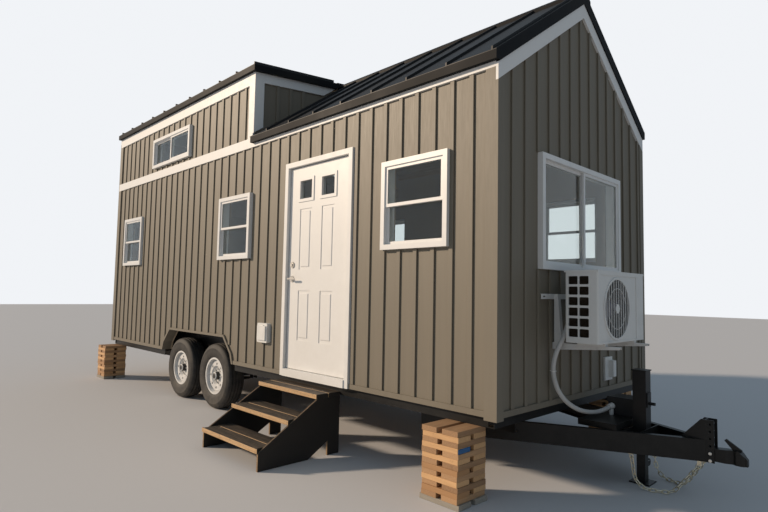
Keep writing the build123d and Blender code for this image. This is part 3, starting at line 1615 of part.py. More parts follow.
with BuildPart() as power_inlet:
    x = hitch_x - inlet_back
    slab(door_side, x - inlet_width / 2, x + inlet_width / 2, inlet_z - inlet_height / 2, inlet_z + inlet_height / 2,
         0, inlet_depth - inlet_lid)
    fillet(power_inlet.edges().filter_by(Axis.Y), 14)
    lid_half = inlet_width / 2 - inlet_lid_in
    slab(door_side, x - lid_half, x + lid_half, inlet_z - lid_half, inlet_z + lid_half,
         inlet_depth - inlet_lid, inlet_depth)
    with Locations((x, door_y - inlet_depth + inlet_lid / 2, inlet_z + lid_half)):
        Cylinder(inlet_lid / 2, lid_half, rotation=(0, 90, 0))
save(power_inlet, "power_inlet")

with BuildPart() as outlet_cover:
    across = outlet_y - half
    slab(hitch_side, across - outlet_width / 2, across + outlet_width / 2, outlet_z - outlet_height / 2,
         outlet_z + outlet_height / 2, 0, outlet_plate)
    fillet(outlet_cover.faces().sort_by(Axis.X)[-1].edges(), 5)
    lid_y = across + outlet_width / 2 - bubble_width / 2 - bubble_corner
    with BuildSketch(hitch_side.offset(outlet_plate)) as bubble:
        with Locations((lid_y, outlet_z)):
            RectangleRounded(bubble_width, bubble_height, bubble_corner)
    extrude(bubble.sketch, amount=outlet_depth - outlet_plate, taper=6)
save(outlet_cover, "outlet_cover")

# Line set: a sleeved hose that hangs from a socket behind the condenser to an elbow on the battery tray
hose_points = [
    (3262, -150, 1230),
    (3255, -185, 1150),
    (3240, -232, 1070),
    (3214, -264, 990),
    (3190, -262, 900),
    (3182, -240, 800),
    (3190, -190, 700),
    (3206, -110, 617),
    (3228, -5, 553),
    (3250, 110, 512),
    (3276, 225, 494),
    (3300, 322, 496),
    (3326, 400, 519),
]
bend_share = 0.45


def bend_radii(points):
    """Radius at each corner of a route: as large as the two runs beside it allow."""
    radii = []
    for before, corner, after in zip(points, points[1:], points[2:]):
        run_in = Vector(*corner) - Vector(*before)
        run_out = Vector(*after) - Vector(*corner)
        half_turn = radians(run_in.get_angle(run_out) / 2)
        radii.append(bend_share * min(run_in.length, run_out.length) / tan(half_turn))
    return radii


hose_radii = bend_radii(hose_points)
print("hose radii", [round(radius) for radius in hose_radii])

with BuildPart() as line_set:
    with BuildLine() as hose_route:
        FilletPolyline(*hose_points, radius=hose_radii)
    hose_wire = hose_route.wires()[0]
    with BuildSketch(Plane(origin=hose_wire @ 0, z_dir=hose_wire % 0)):
        Circle(hose_radius)
    sweep(path=hose_wire)
    print("hose", round(hose_wire.length), round(line_set.part.volume), round(hose_wire.length * hose_radius**2 * 3.14159))
save(line_set, "line_set")

socket_length = 50
socket_wall = 7
mouth_wall = 2
clip_width = 16
clip_sheet = 3
clip_z_point = hose_points[4]
elbow_reach = 45

with BuildPart() as line_fittings:
    # Socket on the back of the cabinet, above the hose's first run
    top = hose_wire @ 0
    way = hose_wire % 0
    with BuildSketch(Plane(origin=top - way * running_gap, z_dir=-way)):
        Circle(hose_radius + socket_wall)
    extrude(amount=socket_length)
    block(top.X - hose_radius, cabinet_x, top.Y - hose_radius, top.Y + hose_radius,
          top.Z + socket_length / 3, top.Z + socket_length)
    # Elbow on the battery tray: the hose runs into its mouth and it turns down to the tray
    end = hose_wire @ 1
    way = hose_wire % 1
    with BuildSketch(Plane(origin=end + way * running_gap, z_dir=way)):
        Circle(hose_radius + socket_wall)
    extrude(amount=elbow_reach)
    centre = end + way * (elbow_reach - hose_radius)
    with BuildSketch(Plane(origin=(centre.X, centre.Y, tongue_top_z + tray_height))) as foot:
        Circle(hose_radius)
    with BuildSketch(Plane(origin=(centre.X, centre.Y, centre.Z))) as mouth:
        Circle(hose_radius + mouth_wall)
    loft([foot.sketch, mouth.sketch])
save(line_fittings, "line_fittings")

# Safety chains: closed links of round bar, each turned a quarter from the one before
link_gap = 0.5
chain_pitch = chain_straight + 2 * chain_round - chain_bar - link_gap
link_tilt = radians(45)
route_radius = 110
chain_lie = chain_round * sin(link_tilt) + chain_bar / 2 + 1
near_hang = (3600, 150)
near_mount = (4004, 326)
far_hang = (3600, 2 * mid_y - 150)
far_mount = (4004, 2 * mid_y - 326)


def chain_link():
    """One link round the XY plane's origin, its round ends drawn as three flats."""
    flat = chain_round * tan(radians(22.5))
    reach = chain_straight / 2
    corner = (reach + flat, chain_round)
    shoulder = (reach + chain_round, flat)
    quarter = [corner, shoulder, (shoulder[0], -flat), (corner[0], -chain_round)]
    back = [(-x, y) for x, y in reversed(quarter)]
    with BuildPart() as link:
        with BuildLine() as loop:
            Polyline(*quarter, *[(x, y) for x, y in back], close=True)
        with BuildSketch(Plane(origin=(0, chain_round, 0), x_dir=(0, 1, 0), z_dir=(1, 0, 0))):
            RegularPolygon(chain_bar / 2, 6)
        sweep(path=loop.wires()[0], transition=Transition.RIGHT)
    return link.part


eye_radius = 16
eye_bar = 4.5
eye_slack = 1
eye_pad = 14
eye_drop = 33


def chain_along(link, eye, points, tilt):
    """Links along a route, each a quarter turn from the last, and an eye beyond each end."""
    with BuildLine() as route:
        FilletPolyline(*points, radius=route_radius)
    wire = route.wires()[0]
    count = int(wire.length // chain_pitch)
    joints = [wire.position_at(i * chain_pitch / wire.length) for i in range(count + 1)]
    level = Vector(points[-1][0] - points[0][0], points[-1][1] - points[0][1], 0).normalized()
    across = Vector(-level.Y, level.X, 0)
    planes = []
    for i, (a, b) in enumerate(zip(joints, joints[1:])):
        way = (b - a).normalized()
        turn = tilt if i % 2 else -tilt
        normal = across * cos(turn) + across.cross(way) * sin(turn)
        planes.append(Plane(origin=(a + b) / 2, x_dir=way, z_dir=normal))
    add([link.moved(plane.location) for plane in planes])
    # The tube of an eye passes through the last link with a little slack
    reach = chain_straight / 2 + chain_round - chain_pitch / 2 - chain_bar / 2 - eye_bar - eye_slack + eye_radius
    for joint, plane, out in ((joints[0], planes[0], -1), (joints[-1], planes[-1], 1)):
        centre = joint + plane.x_dir * out * reach
        add(eye.moved(Plane(origin=centre, x_dir=plane.x_dir, z_dir=plane.y_dir).location))
        far = centre + plane.x_dir * out * eye_radius
        block(far.X - eye_pad, far.X + eye_pad, far.Y - eye_pad, far.Y + eye_pad, far.Z - eye_bar / 2, tongue_low_z)
    print("chain", count, "links, left over", round(wire.length - count * chain_pitch, 1), round(far.Z))


with BuildPart() as safety_chains:
    link = chain_link()
    eye = bar_ring(eye_radius, eye_bar)
    hang_z = tongue_low_z - eye_drop
    for side, (hang_x, hang_y), (tip_x, tip_y) in ((1, near_hang, near_mount), (-1, far_hang, far_mount)):
        points = [(hang_x, hang_y, hang_z), (hang_x + 26, hang_y + side * 10, chain_lie),
                  (hang_x + 250, hang_y + side * 100, chain_lie), (tip_x, tip_y, hang_z)]
        chain_along(link, eye, points, link_tilt)
save(safety_chains, "safety_chains")
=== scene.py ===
import math
import random

import bpy
from mathutils import Euler, Matrix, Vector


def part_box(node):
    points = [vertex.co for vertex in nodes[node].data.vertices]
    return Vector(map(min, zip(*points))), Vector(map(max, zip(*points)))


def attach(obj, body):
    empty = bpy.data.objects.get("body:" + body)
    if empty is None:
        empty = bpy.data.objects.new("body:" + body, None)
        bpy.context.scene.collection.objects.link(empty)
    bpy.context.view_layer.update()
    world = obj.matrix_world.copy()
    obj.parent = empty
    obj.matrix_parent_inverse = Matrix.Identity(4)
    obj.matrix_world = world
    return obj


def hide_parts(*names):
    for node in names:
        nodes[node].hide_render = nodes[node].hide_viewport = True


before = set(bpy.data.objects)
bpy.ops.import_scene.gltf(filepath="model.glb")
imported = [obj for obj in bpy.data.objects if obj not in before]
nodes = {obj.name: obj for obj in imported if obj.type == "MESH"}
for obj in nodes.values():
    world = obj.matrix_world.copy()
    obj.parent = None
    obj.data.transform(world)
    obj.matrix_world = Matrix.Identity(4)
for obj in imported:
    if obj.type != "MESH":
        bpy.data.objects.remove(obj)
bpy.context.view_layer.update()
print("frame loaded:", len(nodes), "nodes")

# places on the house that pieces are set out from
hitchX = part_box("hitch_gable_wall")[1][0]
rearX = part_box("rear_gable_wall")[0][0]
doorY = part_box("hitch_gable_wall")[0][1]
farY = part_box("hitch_gable_wall")[1][1]
midY = (doorY + farY) / 2
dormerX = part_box("dormer_cheeks")[1][0]
friezeLow, friezeTop = 3.010, 3.120
dormerFriezeLow = 3.740
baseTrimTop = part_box("floor_deck")[0][2] + 0.042  # the height of the base trim


# camera at the place the photograph was taken from
cameraView = {
    "place": (5.2465, -4.0845, 1.413),
    "yaw": 45.52,
    "pitch": 3.87,
    "roll": 1.10,
    "lens": 25.575,
}


def addCamera(view):
    turn = Euler((math.radians(90 + view["pitch"]), 0, math.radians(view["yaw"]))).to_matrix()
    turn = turn @ Matrix.Rotation(math.radians(view["roll"]), 3, "Z")
    bpy.ops.object.camera_add(location=view["place"], rotation=turn.to_euler())
    camera = bpy.context.object
    camera.name = "photoCamera"
    camera.data.sensor_width = 36
    camera.data.lens = view["lens"]
    camera.data.clip_end = 200
    bpy.context.scene.camera = camera


addCamera(cameraView)


# low soft sun on the door side, open shade on the hitch end
studio = {
    "sunTurn": (68, 0, -48),
    "sunStrength": 3.5,
    "sunAngle": 4,
    "sunColor": (1.0, 0.80, 0.60),
    "skyColor": (0.68, 0.84, 1.0),
    "skyStrength": 0.33,
    "backColor": (0.88, 0.90, 0.93),
    "floorColor": (0.60, 0.60, 0.61),
    "floorSize": 90,
}


def addStudio(look):
    bpy.ops.object.light_add(type="SUN", rotation=[math.radians(a) for a in look["sunTurn"]])
    sun = bpy.context.object
    sun.name = "keySun"
    sun.data.energy = look["sunStrength"]
    sun.data.angle = math.radians(look["sunAngle"])
    sun.data.color = look["sunColor"]

    world = bpy.data.worlds.new("studioSky")
    bpy.context.scene.world = world
    world.use_nodes = True
    tree = world.node_tree
    tree.nodes.clear()
    light = tree.nodes.new("ShaderNodeBackground")
    light.inputs["Color"].default_value = (*look["skyColor"], 1)
    light.inputs["Strength"].default_value = look["skyStrength"]
    seen = tree.nodes.new("ShaderNodeBackground")
    seen.inputs["Color"].default_value = (*look["backColor"], 1)
    path = tree.nodes.new("ShaderNodeLightPath")
    mix = tree.nodes.new("ShaderNodeMixShader")
    out = tree.nodes.new("ShaderNodeOutputWorld")
    asSeen = tree.nodes.new("ShaderNodeMath")
    asSeen.operation = "MAXIMUM"
    tree.links.new(path.outputs["Is Camera Ray"], asSeen.inputs[0])
    tree.links.new(path.outputs["Is Transmission Ray"], asSeen.inputs[1])
    tree.links.new(asSeen.outputs[0], mix.inputs["Fac"])
    tree.links.new(light.outputs[0], mix.inputs[1])
    tree.links.new(seen.outputs[0], mix.inputs[2])
    tree.links.new(mix.outputs[0], out.inputs["Surface"])

    bpy.ops.mesh.primitive_plane_add(size=look["floorSize"], location=(0, 0, -0.001))
    floor = bpy.context.object
    floor.name = "studioFloor"
    paint = bpy.data.materials.new("studioFloor")
    paint.use_nodes = True
    shader = paint.node_tree.nodes["Principled BSDF"]
    shader.inputs["Base Color"].default_value = (*look["floorColor"], 1)
    shader.inputs["Roughness"].default_value = 0.9
    floor.data.materials.append(paint)


addStudio(studio)
bpy.context.scene.view_settings.view_transform = "Standard"
print("camera and studio ready")


# hose between the condenser and the tray on the tongue
lineHose = {
    "radius": 0.0175,
    "diameter": 0.035,
    "length": 1.244,
    "route": [
        (3.262, -0.150, 1.230), (3.255, -0.185, 1.150), (3.240, -0.232, 1.070), (3.214, -0.264, 0.990),
        (3.190, -0.262, 0.900), (3.182, -0.240, 0.800), (3.190, -0.190, 0.700), (3.206, -0.110, 0.617),
        (3.228, -0.005, 0.553), (3.250, 0.110, 0.512), (3.276, 0.225, 0.494), (3.300, 0.322, 0.496),
        (3.326, 0.400, 0.519),
    ],
}


def addHose(hose):
    curve = bpy.data.curves.new("lineHose", "CURVE")
    curve.dimensions = "3D"
    curve.bevel_depth = 1  # each point carries the radius
    curve.bevel_resolution = 5
    curve.resolution_u = 10
    curve.use_fill_caps = True
    spline = curve.splines.new("NURBS")
    spline.points.add(len(hose["route"]) - 1)
    for point, place in zip(spline.points, hose["route"]):
        point.co = (*place, 1)
        point.radius = hose["radius"]
    spline.order_u = 3
    spline.use_endpoint_u = True
    piece = bpy.data.objects.new("lineHose", curve)
    bpy.context.collection.objects.link(piece)
    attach(piece, "house")
    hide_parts("line_set")
    return piece


hosePiece = addHose(lineHose)
print("hose laid")


# node groups shared by the materials

def newGroup(name, inputs, outputs):
    group = bpy.data.node_groups.new(name, "ShaderNodeTree")
    for label, kind, value in inputs:
        socket = group.interface.new_socket(label, in_out="INPUT", socket_type=kind)
        if value is not None:
            socket.default_value = value
    for label, kind in outputs:
        group.interface.new_socket(label, in_out="OUTPUT", socket_type=kind)
    start = group.nodes.new("NodeGroupInput")
    end = group.nodes.new("NodeGroupOutput")
    return group, start, end


def addNode(tree, kind, links=(), **values):
    node = tree.nodes.new("ShaderNode" + kind)
    for name, value in values.items():
        if hasattr(node, name):
            setattr(node, name, value)
        else:
            node.inputs[name.replace("_", " ")].default_value = value
    for socket, source in links:
        tree.links.new(source, node.inputs[socket])
    return node


def makeGrainGroup():
    # streaks along one axis, set by how far each axis is stretched
    group, start, end = newGroup(
        "grain",
        [("Vector", "NodeSocketVector", None), ("Stretch", "NodeSocketVector", (40, 40, 2)),
         ("Detail", "NodeSocketFloat", 4.0)],
        [("Streak", "NodeSocketFloat"), ("Broad", "NodeSocketFloat")],
    )
    scaled = addNode(group, "VectorMath", operation="MULTIPLY")
    group.links.new(start.outputs["Vector"], scaled.inputs[0])
    group.links.new(start.outputs["Stretch"], scaled.inputs[1])
    fine = addNode(group, "TexNoise", [("Vector", scaled.outputs[0])],
                   Scale=2.0, Roughness=0.65, Distortion=0.3)
    group.links.new(start.outputs["Detail"], fine.inputs["Detail"])
    broad = addNode(group, "TexNoise", [("Vector", scaled.outputs[0])], Scale=0.35, Detail=2.0)
    group.links.new(fine.outputs["Fac"], end.inputs["Streak"])
    group.links.new(broad.outputs["Fac"], end.inputs["Broad"])
    return group


def makeDustGroup():
    # dust and splash that thin out upwards from the ground
    group, start, end = newGroup(
        "dust",
        [("Vector", "NodeSocketVector", None), ("Top", "NodeSocketFloat", 0.9),
         ("Amount", "NodeSocketFloat", 0.6), ("Scale", "NodeSocketFloat", 3.0)],
        [("Mask", "NodeSocketFloat")],
    )
    split = addNode(group, "SeparateXYZ", [("Vector", start.outputs["Vector"])])
    fade = addNode(group, "MapRange", [("Value", split.outputs["Z"]), ("From Max", start.outputs["Top"])])
    fade.inputs["From Min"].default_value = 0.0
    fade.inputs["To Min"].default_value = 1.0
    fade.inputs["To Max"].default_value = 0.0
    spots = addNode(group, "TexNoise", [("Vector", start.outputs["Vector"])], Detail=6.0, Roughness=0.7)
    group.links.new(start.outputs["Scale"], spots.inputs["Scale"])
    sharp = addNode(group, "MapRange", [("Value", spots.outputs["Fac"])])
    sharp.inputs["From Min"].default_value = 0.38
    sharp.inputs["From Max"].default_value = 0.72
    both = addNode(group, "Math", operation="MULTIPLY")
    group.links.new(fade.outputs[0], both.inputs[0])
    group.links.new(sharp.outputs[0], both.inputs[1])
    scaled = addNode(group, "Math", operation="MULTIPLY")
    group.links.new(both.outputs[0], scaled.inputs[0])
    group.links.new(start.outputs["Amount"], scaled.inputs[1])
    group.links.new(scaled.outputs[0], end.inputs["Mask"])
    return group


def makeScuffGroup():
    # small worn flecks and patches
    group, start, end = newGroup(
        "scuffs",
        [("Vector", "NodeSocketVector", None), ("Scale", "NodeSocketFloat", 30.0),
         ("Reach", "NodeSocketFloat", 0.62)],
        [("Mask", "NodeSocketFloat")],
    )
    spots = addNode(group, "TexNoise", [("Vector", start.outputs["Vector"])], Detail=8.0, Roughness=0.75)
    group.links.new(start.outputs["Scale"], spots.inputs["Scale"])
    sharp = addNode(group, "MapRange",
                    [("Value", spots.outputs["Fac"]), ("From Min", start.outputs["Reach"])])
    sharp.inputs["From Max"].default_value = 0.8
    group.links.new(sharp.outputs[0], end.inputs["Mask"])
    return group


def makeInsideGroup():
    # 1 on the faces that look into the rooms
    group, start, end = newGroup(
        "inside", [("Vector", "NodeSocketVector", None)], [("Mask", "NodeSocketFloat")])
    split = addNode(group, "SeparateXYZ", [("Vector", start.outputs["Vector"])])
    masks = []
    for axis, middle, reach in (("X", (hitchX + rearX) / 2, (hitchX - rearX) / 2), ("Y", midY, farY - midY)):
        shift = addNode(group, "Math", [(0, split.outputs[axis])], operation="SUBTRACT")
        shift.inputs[1].default_value = middle
        away = addNode(group, "Math", [(0, shift.outputs[0])], operation="ABSOLUTE")
        below = addNode(group, "Math", [(0, away.outputs[0])], operation="LESS_THAN")
        below.inputs[1].default_value = reach - 0.1  # this far in from the outer faces
        masks.append(below)
    both = addNode(group, "Math", [(0, masks[0].outputs[0]), (1, masks[1].outputs[0])], operation="MULTIPLY")
    group.links.new(both.outputs[0], end.inputs["Mask"])
    return group


grainGroup = makeGrainGroup()
dustGroup = makeDustGroup()
scuffGroup = makeScuffGroup()
insideGroup = makeInsideGroup()


def placeGroup(tree, group, links, **values):
    node = tree.nodes.new("ShaderNodeGroup")
    node.node_tree = group
    for name, value in values.items():
        node.inputs[name].default_value = value
    for socket, source in links:
        tree.links.new(source, node.inputs[socket])
    return node


def mixColor(tree, fac, first, second):
    mix = tree.nodes.new("ShaderNodeMix")
    mix.data_type = "RGBA"
    for socket, value in ((6, first), (7, second)):
        if isinstance(value, tuple):
            mix.inputs[socket].default_value = (*value, 1)
        else:
            tree.links.new(value, mix.inputs[socket])
    if isinstance(fac, float):
        mix.inputs[0].default_value = fac
    else:
        tree.links.new(fac, mix.inputs[0])
    return mix.outputs[2]


def rangeOf(tree, value, low, high, toLow=0.0, toHigh=1.0):
    node = addNode(tree, "MapRange", [("Value", value)])
    node.inputs["From Min"].default_value = low
    node.inputs["From Max"].default_value = high
    node.inputs["To Min"].default_value = toLow
    node.inputs["To Max"].default_value = toHigh
    return node.outputs[0]


def bumpFrom(tree, height, strength, distance):
    bump = addNode(tree, "Bump", [("Height", height)])
    bump.inputs["Strength"].default_value = strength
    bump.inputs["Distance"].default_value = distance
    return bump.outputs[0]


def newMaterial(name, roughness, metallic=0.0):
    material = bpy.data.materials.new(name)
    material.use_nodes = True
    tree = material.node_tree
    shader = tree.nodes["Principled BSDF"]
    shader.inputs["Roughness"].default_value = roughness
    shader.inputs["Metallic"].default_value = metallic
    coords = tree.nodes.new("ShaderNodeTexCoord").outputs["Object"]
    return material, tree, shader, coords


sidingPaint = {
    "color": (0.192, 0.168, 0.128),
    "shade": (0.172, 0.150, 0.114),
    "inside": (0.50, 0.40, 0.28),
    "dirt": (0.23, 0.20, 0.16),
    "grain": (55, 55, 3.2),
}


def makeSiding(name, look, lined):
    material, tree, shader, coords = newMaterial(name, 0.52)
    grain = placeGroup(tree, grainGroup, [("Vector", coords)], Stretch=look["grain"])
    tone = rangeOf(tree, grain.outputs["Broad"], 0.2, 0.8)
    color = mixColor(tree, tone, look["color"], look["shade"])
    dust = placeGroup(tree, dustGroup, [("Vector", coords)], Top=1.3, Amount=0.35, Scale=2.4)
    color = mixColor(tree, dust.outputs["Mask"], color, look["dirt"])
    if lined:
        inside = placeGroup(tree, insideGroup, [("Vector", coords)])
        color = mixColor(tree, inside.outputs["Mask"], color, look["inside"])
    tree.links.new(color, shader.inputs["Base Color"])
    rough = rangeOf(tree, grain.outputs["Streak"], 0.3, 0.7, 0.50, 0.58)
    tree.links.new(rough, shader.inputs["Roughness"])
    tree.links.new(bumpFrom(tree, grain.outputs["Streak"], 0.12, 0.001), shader.inputs["Normal"])
    return material


def makeBoards(name, light, dark, stretch, roughness, depth=0.001, boards=False):
    # sawn wood with its grain along the axis that is stretched least, and a tint for each loose board
    material, tree, shader, coords = newMaterial(name, roughness)
    grain = placeGroup(tree, grainGroup, [("Vector", coords)], Stretch=stretch)
    tone = grain.outputs["Streak"]
    if boards:
        island = tree.nodes.new("ShaderNodeNewGeometry").outputs["Random Per Island"]
        tone = addNode(tree, "Math", [(0, tone), (1, island)], operation="ADD").outputs[0]
    fac = rangeOf(tree, tone, 0.35 if boards else 0.3, 1.35 if boards else 0.7)
    color = mixColor(tree, fac, light, dark)
    spots = placeGroup(tree, scuffGroup, [("Vector", coords)], Scale=11.0, Reach=0.63)
    color = mixColor(tree, spots.outputs["Mask"], color, tuple(c * 0.45 for c in dark))
    tree.links.new(color, shader.inputs["Base Color"])
    tree.links.new(bumpFrom(tree, grain.outputs["Streak"], 0.5, depth), shader.inputs["Normal"])
    return material


def makePaint(name, color, dirt, roughness, dustTop, dustAmount, grain=None):
    # paint with light dust, and the grain of the board below it where there is one
    material, tree, shader, coords = newMaterial(name, roughness)
    dust = placeGroup(tree, dustGroup, [("Vector", coords)], Top=dustTop, Amount=dustAmount, Scale=4.0)
    tree.links.new(mixColor(tree, dust.outputs["Mask"], color, dirt), shader.inputs["Base Color"])
    scuff = placeGroup(tree, scuffGroup, [("Vector", coords)], Scale=14.0, Reach=0.4)
    rough = rangeOf(tree, scuff.outputs["Mask"], 0, 1, roughness, roughness + 0.15)
    tree.links.new(rough, shader.inputs["Roughness"])
    if grain:
        streaks = placeGroup(tree, grainGroup, [("Vector", coords)], Stretch=grain)
        tree.links.new(bumpFrom(tree, streaks.outputs["Streak"], 0.2, 0.0008), shader.inputs["Normal"])
    return material


def makeSteelPaint(name, color, worn, roughness, reach, dustAmount):
    # coated steel with chips, dull patches and road dust
    material, tree, shader, coords = newMaterial(name, roughness)
    shader.inputs["Specular IOR Level"].default_value = 0.3
    scuff = placeGroup(tree, scuffGroup, [("Vector", coords)], Scale=26.0, Reach=reach)
    fine = mixColor(tree, scuff.outputs["Mask"], color, worn)
    dust = placeGroup(tree, dustGroup, [("Vector", coords)], Top=1.1, Amount=dustAmount, Scale=6.0)
    tree.links.new(mixColor(tree, dust.outputs["Mask"], fine, (0.11, 0.10, 0.085)),
                   shader.inputs["Base Color"])
    rough = addNode(tree, "Math", [(0, scuff.outputs["Mask"]), (1, dust.outputs["Mask"])], operation="ADD")
    tree.links.new(rangeOf(tree, rough.outputs[0], 0, 1, roughness, 0.75), shader.inputs["Roughness"])
    tree.links.new(bumpFrom(tree, scuff.outputs["Mask"], 0.25, 0.0006), shader.inputs["Normal"])
    return material


roofPaint = {"color": (0.012, 0.0125, 0.014), "dust": (0.045, 0.042, 0.038)}


def makeRoofMetal(name, look, sheen):
    material, tree, shader, coords = newMaterial(name, 0.5)
    shader.inputs["Specular IOR Level"].default_value = sheen
    spots = addNode(tree, "TexNoise", [("Vector", coords)], Scale=1.3, Detail=7.0, Roughness=0.6)
    fac = rangeOf(tree, spots.outputs["Fac"], 0.45, 0.8, 0.0, 0.55)
    tree.links.new(mixColor(tree, fac, look["color"], look["dust"]), shader.inputs["Base Color"])
    tree.links.new(rangeOf(tree, spots.outputs["Fac"], 0.3, 0.8, 0.44, 0.62), shader.inputs["Roughness"])
    wave = addNode(tree, "TexNoise", [("Vector", coords)], Scale=3.0, Detail=1.0)
    tree.links.new(bumpFrom(tree, wave.outputs["Fac"], 0.12, 0.01), shader.inputs["Normal"])
    return material


def makeGlass():
    material, tree, shader, coords = newMaterial("paneGlass", 0.02)
    shader.inputs["Base Color"].default_value = (0.86, 0.91, 0.90, 1)
    shader.inputs["Transmission Weight"].default_value = 1.0
    shader.inputs["IOR"].default_value = 1.45
    smear = addNode(tree, "TexNoise", [("Vector", coords)], Scale=5.0, Detail=3.0)
    tree.links.new(rangeOf(tree, smear.outputs["Fac"], 0.5, 0.8, 0.0, 0.06), shader.inputs["Roughness"])
    return material


def makeRubber():
    material, tree, shader, coords = newMaterial("tyreRubber", 0.7)
    dust = placeGroup(tree, dustGroup, [("Vector", coords)], Top=1.2, Amount=0.45, Scale=9.0)
    tree.links.new(mixColor(tree, dust.outputs["Mask"], (0.020, 0.020, 0.020), (0.15, 0.125, 0.095)),
                   shader.inputs["Base Color"])
    fine = addNode(tree, "TexNoise", [("Vector", coords)], Scale=160.0, Detail=2.0)
    tree.links.new(bumpFrom(tree, fine.outputs["Fac"], 0.15, 0.0005), shader.inputs["Normal"])
    return material


stepPaint = {
    "paint": (0.014, 0.012, 0.010),
    "trodden": (0.22, 0.165, 0.115),
    "dark": (0.10, 0.075, 0.052),
    # wood and pale make the bare wood painted on the faces turned to -y: partly worn paint, partly painted
    # sunlight
    "wood": (0.42, 0.26, 0.13),
    "pale": (0.60, 0.40, 0.21),
}


def makeStepBoards(name, look, reach, frontWornAndLit):
    # black paint trodden through on the upper faces; the faces turned to -y, towards the sun, are painted
    # pale bare wood, partly paint worn off the front edges and partly painted sunlight
    material, tree, shader, coords = newMaterial(name, 0.62)
    grain = placeGroup(tree, grainGroup, [("Vector", coords)], Stretch=(3.0, 60, 60))
    wood = mixColor(tree, grain.outputs["Streak"], look["trodden"], look["dark"])
    normal = tree.nodes.new("ShaderNodeNewGeometry").outputs["Normal"]
    way = addNode(tree, "SeparateXYZ", [("Vector", normal)])
    worn = placeGroup(tree, scuffGroup, [("Vector", coords)], Scale=4.0, Reach=reach)
    streak = rangeOf(tree, grain.outputs["Streak"], 0.40, 0.62)
    both = addNode(tree, "Math", [(0, worn.outputs["Mask"]), (1, streak)], operation="MULTIPLY")
    mask = addNode(tree, "Math", [(0, both.outputs[0]), (1, way.outputs["Z"])],
                   operation="MULTIPLY", use_clamp=True)
    color = mixColor(tree, mask.outputs[0], look["paint"], wood)
    # painted sunlight mixed with real wear: the faces turned to -y, towards the sun, get pale bare wood
    front = rangeOf(tree, way.outputs["Y"], -0.35, -0.8, 0.0, frontWornAndLit)
    chips = placeGroup(tree, scuffGroup, [("Vector", coords)], Scale=30.0, Reach=0.55)
    whole = addNode(tree, "Math", [(0, front), (1, chips.outputs["Mask"])],
                    operation="SUBTRACT", use_clamp=True)
    bareAndLit = mixColor(tree, rangeOf(tree, grain.outputs["Streak"], 0.35, 0.65), look["pale"], look["wood"])
    tree.links.new(mixColor(tree, whole.outputs[0], color, bareAndLit), shader.inputs["Base Color"])
    tree.links.new(bumpFrom(tree, grain.outputs["Streak"], 0.5, 0.001), shader.inputs["Normal"])
    return material


def makePlainPlastic(name, color, roughness):
    material, tree, shader, coords = newMaterial(name, roughness)
    fine = addNode(tree, "TexNoise", [("Vector", coords)], Scale=220.0, Detail=2.0)
    darker = tuple(c * 0.88 for c in color)
    tone = addNode(tree, "TexNoise", [("Vector", coords)], Scale=6.0, Detail=4.0)
    tree.links.new(mixColor(tree, rangeOf(tree, tone.outputs["Fac"], 0.4, 0.7), color, darker),
                   shader.inputs["Base Color"])
    tree.links.new(bumpFrom(tree, fine.outputs["Fac"], 0.08, 0.0004), shader.inputs["Normal"])
    return material


def makeBareMetal(name, color, roughness):
    material, tree, shader, coords = newMaterial(name, roughness, 1.0)
    fine = addNode(tree, "TexNoise", [("Vector", coords)], Scale=90.0, Detail=3.0)
    tree.links.new(rangeOf(tree, fine.outputs["Fac"], 0.3, 0.7, roughness - 0.08, roughness + 0.12),
                   shader.inputs["Roughness"])
    tint = tuple(c * 0.75 for c in color)
    tree.links.new(mixColor(tree, rangeOf(tree, fine.outputs["Fac"], 0.4, 0.7), color, tint),
                   shader.inputs["Base Color"])
    return material


siding = makeSiding("sidingPaint", sidingPaint, True)
outerSiding = makeSiding("outerSiding", sidingPaint, False)
roofMetal = makeRoofMetal("roofMetal", roofPaint, 0.3)
roofEdge = makeRoofMetal("roofEdge", roofPaint, 0.06)
paneGlass = makeGlass()
tyreRubber = makeRubber()
whiteTrim = makePaint("whiteTrim", (0.78, 0.78, 0.77), (0.52, 0.49, 0.44), 0.45, 4.4, 0.3, (3, 60, 60))
whiteVinyl = makePaint("whiteVinyl", (0.80, 0.80, 0.79), (0.55, 0.53, 0.48), 0.32, 4.2, 0.2)
doorPaint = makePaint("doorPaint", (0.78, 0.775, 0.76), (0.50, 0.46, 0.40), 0.38, 2.6, 0.22)
innerBoards = makeBoards("innerBoards", (0.60, 0.44, 0.27), (0.44, 0.30, 0.17), (2.0, 40, 40), 0.5)
roofBoards = makeBoards("roofBoards", (0.58, 0.44, 0.28), (0.40, 0.28, 0.16), (2.0, 30, 30), 0.65)
cribAlong = makeBoards("cribAlong", (0.70, 0.43, 0.21), (0.40, 0.22, 0.10), (3, 45, 45), 0.7, 0.0012, True)
cribAcross = makeBoards("cribAcross", (0.55, 0.33, 0.17), (0.27, 0.155, 0.08), (45, 3, 45),
                        0.75, 0.0012, True)
cribBase = makeBoards("cribBase", (0.36, 0.33, 0.28), (0.19, 0.17, 0.14), (3, 45, 45), 0.8, 0.0012, True)
bluePaint = makePaint("bluePaint", (0.025, 0.12, 0.30), (0.12, 0.13, 0.14), 0.6, 0.6, 0.4, (45, 3, 45))
